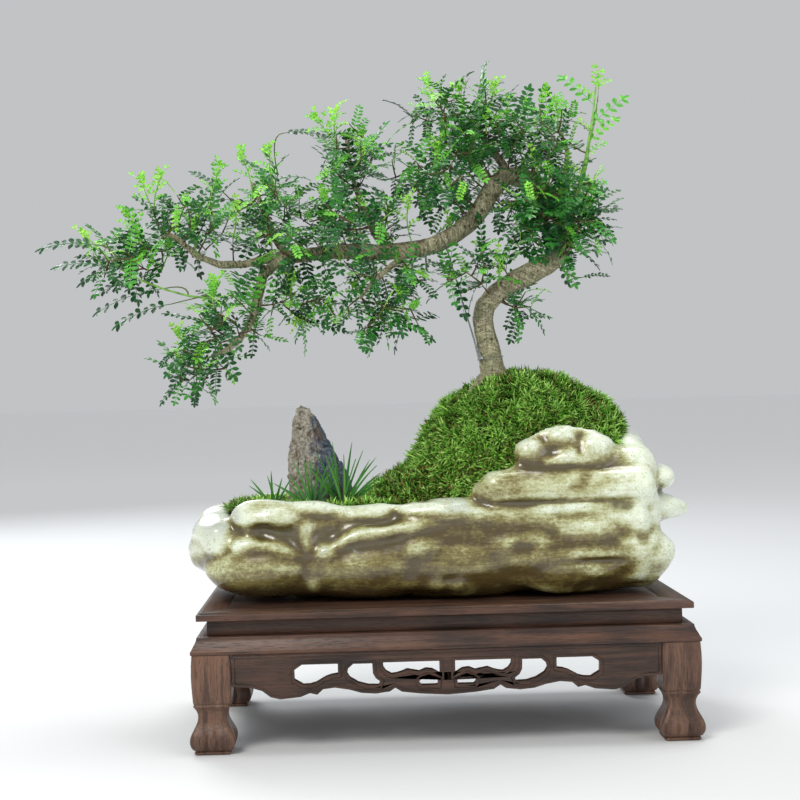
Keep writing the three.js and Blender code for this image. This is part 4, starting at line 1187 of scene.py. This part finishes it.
def makeWire():
    # training wire from the bough to a loop round the trunk's foot
    material, n, shader = newMaterial("agedWire", Metallic=0.85)
    where = objectPlace(n)
    rub = n.noise(where, 500, detail=3)
    n.tree.links.new(n.ramp(rub, (0.3, paint(92, 96, 92)), (0.7, paint(168, 172, 168))), shader.inputs["Base Color"])
    n.tree.links.new(n.fit(rub, 0.3, 0.7, 0.3, 0.5), shader.inputs["Roughness"])
    n.tree.links.new(n.bump(rub, 0.3, 0.0002), shader.inputs["Normal"])
    wire = copyOfNode("guy_wire", "training_wire", flatten=0)
    applyModifier(wire, "SUBSURF", levels=1, render_levels=1)
    finishPiece(wire, material, "wire", "guy_wire", smooth=60)


# Foliage: small feathered leaves on twigs, gathered in clouds

foliageShape = {
    # Each cloud: middle x, y, z, reach in x, y, z, and how many twigs
    "clouds": [
        (30, 4, 546, 46, 40, 27, 15), (52, -16, 522, 40, 30, 22, 8), (104, 8, 520, 44, 40, 40, 17), (136, -4, 458, 24, 34, 34, 9),
        (15, -8, 490, 44, 44, 32, 16), (-67, 10, 508, 36, 38, 32, 12), (-67, -8, 452, 54, 44, 24, 15),
        (-40, -20, 404, 50, 34, 18, 10), (-112, -18, 374, 28, 28, 20, 7), (-46, -28, 366, 36, 30, 22, 9),
        (90, -22, 456, 28, 30, 28, 9), (76, -6, 372, 15, 18, 13, 3), (-144, 12, 466, 32, 38, 44, 14),
        (-216, 6, 456, 42, 38, 30, 13), (-272, 2, 424, 34, 32, 26, 10), (-182, -16, 368, 42, 36, 30, 12),
        (-214, -16, 324, 28, 26, 24, 8), (-120, -30, 424, 42, 28, 20, 8), (60, 20, 486, 40, 30, 24, 6),
        (106, -30, 464, 24, 13, 26, 6), (130, -28, 438, 22, 13, 26, 5), (96, -16, 430, 22, 18, 20, 3),
        (26, -24, 398, 28, 16, 15, 4), (52, -22, 416, 18, 14, 12, 2),
    ],
    # Tips of the young upright shoots, as x, z
    "tips": [
        (0, 579), (30, 577), (62, 577), (75, 565), (91, 560), (116, 557), (-83, 555), (-101, 547), (-145, 522), (-168, 512),
        (-190, 505), (-244, 498), (-261, 495), (-315, 449), (-151, 453), (-72, 452), (-40, 440), (18, 452), (-128, 402),
        (8, 520), (50, 545), (96, 508), (128, 500), (-214, 455), (-96, 480), (-60, 520), (148, 478), (-20, 470), (-176, 470),
        (-196, 400), (-30, 388), (-70, 396), (60, 416), (-230, 356), (-118, 366), (100, 462), (-240, 440), (-272, 462),
    ],
    # Green stems, each a line of x, z points
    "stems": [
        [(-198, 388), (-220, 391), (-240, 397), (-260, 405), (-278, 415), (-296, 432), (-310, 446)],
        [(-190, 340), (-206, 334), (-220, 334), (-236, 340)],
    ],
    # Long arching leaves at the far left: foot x, z then tip x, z
    "fronds": [
        (-300, 437, -350, 440, -30), (-291, 421, -345, 428, 12), (-272, 420, -318, 408, -22), (-264, 408, -312, 400, 16),
        (-243, 398, -309, 384, -10), (-240, 386, -296, 372, 22), (-232, 340, -246, 330, -24), (-214, 312, -216, 292, -20),
        (-206, 330, -247, 334, 14), (-132, 540, -92, 541, 12), (136, 400, 160, 404, -10), (128, 446, 162, 449, -20),
        (130, 484, 160, 492, 14), (-188, 486, -214, 509, 8),
    ],
    "leafletLong": 8.0, "leafletWide": 4.5, "nodeGap": 6.4, "deep": 1.45, "more": 2.2,
}

leaflet = modelBlade("leaflet", 2, 4, (0.2, 0.72, 1.0, 0.86, 0.22), 0.07, 0.1)
youngLeaflet = modelBlade("youngLeaflet", 2, 3, (0.3, 0.9, 1.0, 0.25), 0.1, -0.12)


def growLeaf(heap, foot, way, up, length, pairs, tint, young=False, curl=0.35):
    # a feathered leaf: an arching midrib with leaflets in pairs and one at the end
    s = foliageShape
    way, up = unit(way), unit(up)
    side = unit(np.cross(way, up))
    up = np.cross(side, way)
    size = (0.62 if young else 1.0) * length / (44 * mm)
    size = min(max(size, 0.5), 1.12)
    steps = pairs + 1
    shares = np.linspace(0.0, 1.0, steps + 1)
    route = [foot + way * length * t + up * length * curl * (0.45 * t - t * t) for t in shares]
    route = np.array(route)
    heap.stem(route[:-1] if young else route[:-1], (0.42 * mm, 0.22 * mm), min(tint + 0.12, 1.0), sides=3)
    shape = youngLeaflet if young else leaflet
    ways = np.gradient(route, axis=0)
    for step in range(1, steps):
        ahead = unit(ways[step])
        above = unit(np.cross(side, ahead))
        taper = (0.72 + 0.28 * math.sin(math.pi * (0.25 + 0.6 * step / steps)))
        for hand in (-1, 1):
            out = unit(side * hand + ahead * randomPick(0.35, 0.6) + above * randomPick(-0.1, 0.32 if not young else 0.6))
            long = s["leafletLong"] * mm * size * taper * randomPick(0.86, 1.1)
            wide = s["leafletWide"] * mm * size * taper * randomPick(0.88, 1.12)
            face = above + side * hand * randomPick(-0.35, 0.15) + ahead * randomPick(-0.25, 0.25)
            leafFoot = route[step] + side * hand * 0.3 * mm
            heap.blade(shape, leafFoot, leafFoot + out * long, face, wide, np.clip(tint + randomPick(-0.07, 0.07), 0.02, 0.97))
    ahead = unit(ways[-2])
    long = s["leafletLong"] * mm * size * 1.05
    heap.blade(shape, route[-2], route[-2] + ahead * long, np.cross(side, ahead), s["leafletWide"] * mm * size,
               np.clip(tint + 0.03, 0.02, 0.97))


leafDice = random.Random(31)


def randomPick(low, high):
    return leafDice.uniform(low, high)


def sidewaysOf(way):
    turned = np.cross(way, (randomPick(-1, 1), randomPick(-1, 1), randomPick(-1, 1)))
    return unit(turned)


def growTwig(wood, leaves, foot, way, length, tint, tipYoung=True):
    # a wavy twig with leaves in turn round it, the youngest at the tip
    s = foliageShape
    way = unit(way)
    bend = sidewaysOf(way) * randomPick(0.05, 0.22) + np.array((0, 0, randomPick(0.0, 0.25)))
    count = max(3, int(length / (s["nodeGap"] * mm)))
    shares = np.linspace(0, 1, count + 1)
    route = np.array([foot + way * length * t + bend * length * t * t for t in shares])
    wood.stem(route, (0.95 * mm, 0.45 * mm), 0.18 if not tipYoung else 0.3, sides=4)
    ways = np.gradient(route, axis=0)
    turn = randomPick(0, 6.28)
    for step in range(1, count + 1):
        ahead = unit(ways[step])
        turn += 2.4
        first = unit(np.cross(ahead, (0.2, 0.1, 1.0)))
        second = np.cross(ahead, first)
        out = math.cos(turn) * first + math.sin(turn) * second
        out = unit(out * 1.0 + np.array((0, 0, 0.16)) + ahead * 0.55)
        share = step / count
        pairs = leafDice.choice((4, 5, 5, 6, 6, 7))
        length_ = randomPick(24, 46) * mm * (1.0 - 0.25 * share)
        up = unit(np.array((0, -0.25, 1.0)) + np.array((randomPick(-0.5, 0.5), randomPick(-0.5, 0.5), 0)))
        young = share > 0.8 and tipYoung
        shade = tint + 0.3 * share * share + randomPick(-0.08, 0.08)
        if leafDice.random() < 0.13:
            shade += 0.25
        if young:
            shade = randomPick(0.66, 0.85)
            length_ *= 0.7
        growLeaf(leaves, route[step], out, up, length_, pairs, np.clip(shade, 0.03, 0.9), curl=randomPick(0.1, 0.5))
    return route


def growShoot(wood, leaves, foot, tip, tint):
    # a young green shoot with a few small pale leaves crowded towards its tip
    foot, tip = np.asarray(foot), np.asarray(tip)
    length = np.linalg.norm(tip - foot)
    way = unit(tip - foot)
    bow = sidewaysOf(way) * length * 0.08
    shares = np.linspace(0, 1, 6)
    route = np.array([foot + (tip - foot) * t + bow * math.sin(math.pi * t) for t in shares])
    wood.stem(route, (0.85 * mm, 0.4 * mm), 0.82, sides=4)
    turn = randomPick(0, 6.28)
    for k in range(6):
        share = 0.38 + 0.62 * k / 5
        spot = route[0] + (route[-1] - route[0]) * share + bow * math.sin(math.pi * share)
        turn += 2.5
        first = unit(np.cross(way, (0.1, 1.0, 0.15)))
        second = np.cross(way, first)
        out = unit((math.cos(turn) * first + 0.6 * math.sin(turn) * second) * (0.95 - 0.45 * share) + way * (0.4 + 0.7 * share))
        up = unit(way * 0.3 - (math.cos(turn) * first) * 0.6 + np.array((0, -0.7, 0.5)))
        growLeaf(leaves, spot, out, up, randomPick(10, 19) * mm, leafDice.choice((2, 3, 3, 4)),
                 np.clip(tint + 0.06 * k / 5 + randomPick(-0.06, 0.06), 0.5, 0.97), young=True, curl=randomPick(0.2, 0.7))
    growLeaf(leaves, route[-1], way, up, randomPick(6, 9) * mm, 2, np.clip(tint + 0.1, 0, 0.97), young=True, curl=0.1)


def makeFoliage(trunk):
    s = foliageShape
    bark = corners(trunk)
    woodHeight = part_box("moss_cover")[1].z + 0.035
    branches = bark[bark[:, 2] > woodHeight][::6]
    wood = Heap()
    heaps = {"leaves_left": Heap(), "leaves_middle": Heap(), "leaves_upper": Heap(), "leaves_right": Heap()}

    def heapAt(point):
        x, z = (point[0] - standX) / mm, point[2] / mm
        if x < -125:
            return heaps["leaves_left"]
        if x > 70:
            return heaps["leaves_right"]
        return heaps["leaves_upper" if z > 470 else "leaves_middle"]

    grown = [branches]  # every place that a new twig may spring from

    def nearest(point):
        every = np.vstack(grown)
        gaps = np.linalg.norm((every - point) * (1, 1, 1), axis=1)
        return every[gaps.argmin()]

    for x, y, z, reachX, reachY, reachZ, twigs in s["clouds"]:
        middle = np.array(place(x, y, z))
        reach = np.array((reachX, reachY * s["deep"], reachZ)) * mm
        twigs = int(twigs * s["more"])
        targets = []
        for k in range(twigs):
            # even spread over the cloud by the golden angle, some of it inside
            level = 1 - 2 * (k + 0.5) / twigs
            angle = k * 2.39996 + x
            flat = math.sqrt(max(0.0, 1 - level * level))
            aim = np.array((math.cos(angle) * flat, math.sin(angle) * flat, level))
            aim += np.array([randomPick(-0.22, 0.22) for _ in range(3)])
            targets.append((middle + aim * reach * randomPick(0.45, 0.92), level))
        start = nearest(middle)
        targets.sort(key=lambda pair: np.linalg.norm(pair[0] - start))
        for target, level in targets:
            foot = nearest(target)
            length = np.linalg.norm(target - foot)
            if length > 24 * mm:
                # a bare stretch first, so the leaves sit in the outer part
                way = unit(target - foot)
                bow = sidewaysOf(way) * length * 0.1
                shares = np.linspace(0, 1, 7)
                reachOut = (length - 20 * mm) / length
                bare = np.array([foot + (target - foot) * reachOut * t + bow * math.sin(math.pi * t) for t in shares])
                thick = 0.9 + min(length / mm, 90) / 60
                wood.stem(bare, (thick * mm, 0.85 * mm), 0.1, sides=5)
                grown.append(bare[1:])
                foot = bare[-1]
            way = unit(target - foot) if length > 1 * mm else np.array((0.0, 0.0, 1.0))
            tint = 0.08 + 0.13 * (level + 1) + randomPick(-0.06, 0.06)
            route = growTwig(wood, heapAt(target), foot, way + np.array((-0.08, 0, 0.14)),
                             max(np.linalg.norm(target - foot), 15 * mm), tint, tipYoung=level > -0.3)
            grown.append(route[1:])
    for points in s["stems"]:
        start = nearest(np.array(place(points[0][0], -10, points[0][1])))
        route = np.array([start] + [place(x, -12, z) for x, z in points])
        wood.stem(route, (1.2 * mm, 0.6 * mm), 0.7, sides=5)
        grown.append(route[2:])
    for x, z in s["tips"]:
        y = randomPick(-26, 14)
        tip = np.array(place(x, y, z))
        foot = nearest(tip - np.array((0, 0, 24 * mm)))
        growShoot(wood, heapAt(tip), foot, tip, randomPick(0.7, 0.9))
    for footX, footZ, tipX, tipZ, y in s["fronds"]:
        foot, tip = np.array(place(footX, y, footZ)), np.array(place(tipX, y - 4, tipZ))
        start = nearest(foot + (foot - tip) * 0.4)
        turn = foot - (tip - foot) * 0.35
        stalk = np.array([(1 - t) ** 2 * start + 2 * t * (1 - t) * turn + t * t * foot for t in np.linspace(0, 1, 7)])
        wood.stem(stalk, (0.8 * mm, 0.5 * mm), 0.45, sides=4)
        growLeaf(heapAt(foot), foot, tip - foot, (0.1, -0.55, 0.9), np.linalg.norm(tip - foot), 7, randomPick(0.08, 0.3), curl=0.3)
    growTallShoot(wood, heaps["leaves_right"])
    green, twigMaterial = makeLeafGreen(), makeTwigBark()
    sprays = sorted((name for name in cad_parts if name.startswith("leaf_spray")),
                    key=lambda name: sum(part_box(name), Vector()).x)
    shareOut = {"leaves_left": sprays[:9], "leaves_middle": sprays[9:15], "leaves_upper": sprays[15:20],
                "leaves_right": sprays[20:]}
    for name, heap in heaps.items():
        piece = heap.build(name)
        print(name, len(piece.data.polygons), "faces")
        finishPiece(piece, green, "leaf", *shareOut[name], smooth=0)
        piece.data.shade_smooth()
    piece = wood.build("twigs")
    print("twigs", len(piece.data.polygons), "faces")
    finishPiece(piece, twigMaterial, "bark", smooth=0)
    piece.data.shade_smooth()


def growTallShoot(wood, leaves):
    # the long green shoot that stands up at the right, with its forked top
    route = np.array([place(x, -10, z) for x, z in ((110, 413), (121, 428), (131, 462), (139, 492), (145, 522), (150, 548), (153, 572))])
    wood.stem(route, (1.5 * mm, 0.9 * mm), 0.9, sides=6)
    for (x, z), (tipX, tipZ), young in (
        ((127, 434), (152, 446), False), ((133, 458), (118, 470), True), ((137, 480), (162, 490), False), ((139, 492), (126, 508), True),
        ((143, 512), (163, 526), False), ((145, 522), (172, 547), False), ((147, 532), (136, 543), True), ((148, 538), (180, 566), False),
        ((151, 556), (122, 588), False), ((152, 562), (136, 574), True), ((153, 572), (170, 583), True), ((153, 572), (151, 592), True),
        ((153, 570), (160, 590), True),
    ):
        foot, tip = np.array(place(x, -10, z)), np.array(place(tipX, -10 + randomPick(-12, 12), tipZ))
        growLeaf(leaves, foot, tip - foot, (randomPick(-0.3, 0.3), -0.8, 0.6), np.linalg.norm(tip - foot), 4 if young else 5,
                 randomPick(0.8, 0.95) if young else randomPick(0.55, 0.75), young=young, curl=0.25)


leafColour = {
    "old": paint(10, 46, 24), "deep": paint(16, 74, 32), "middle": paint(36, 118, 36), "fresh": paint(92, 184, 48),
    "young": paint(142, 226, 66), "tip": paint(190, 246, 104),
}


def makeLeafGreen():
    c = leafColour
    material, n, shader = newMaterial("leafGreen", Specular_IOR_Level=0.42, Coat_Weight=0.1, Coat_Roughness=0.25)
    where, tint, along = tintPlace(n)
    colour = n.ramp(tint, (0.05, c["old"]), (0.2, c["deep"]), (0.42, c["middle"]), (0.64, c["fresh"]), (0.8, c["young"]), (0.97, c["tip"]))
    blotch = n.noise(n.moved(where, scale=(60, 5, 1)), 1.0, detail=3)
    veined = n.mix(n.fit(blotch, 0.42, 0.7, 0, 0.28), colour, c["deep"])
    pale = n.mix(n.fit(along, 0.0, 0.3, 0.3, 0.0), veined, c["fresh"])
    n.tree.links.new(pale, shader.inputs["Base Color"])
    n.tree.links.new(n.fit(blotch, 0.3, 0.7, 0.32, 0.5), shader.inputs["Roughness"])
    n.tree.links.new(n.bump(blotch, 0.25, 0.0003), shader.inputs["Normal"])
    return material


def makeTwigBark():
    material, n, shader = newMaterial("twigBark", Specular_IOR_Level=0.35)
    where, tint, along = tintPlace(n)
    scar = n.noise(n.moved(where, scale=(20, 30, 1)), 1.0, detail=4)
    colour = n.ramp(tint, (0.04, paint(104, 84, 60)), (0.2, paint(88, 58, 42)), (0.4, paint(96, 104, 48)), (0.75, paint(138, 200, 84)))
    n.tree.links.new(n.mix(n.fit(scar, 0.4, 0.7, 0, 0.5), colour, paint(60, 48, 30)), shader.inputs["Base Color"])
    n.tree.links.new(n.fit(scar, 0.3, 0.7, 0.45, 0.7), shader.inputs["Roughness"])
    n.tree.links.new(n.bump(scar, 0.5, 0.0005), shader.inputs["Normal"])
    return material


barkTrunk = makeTrunk()
makeWire()
makeFoliage(barkTrunk)
print("tree done")

print("all pieces in place")
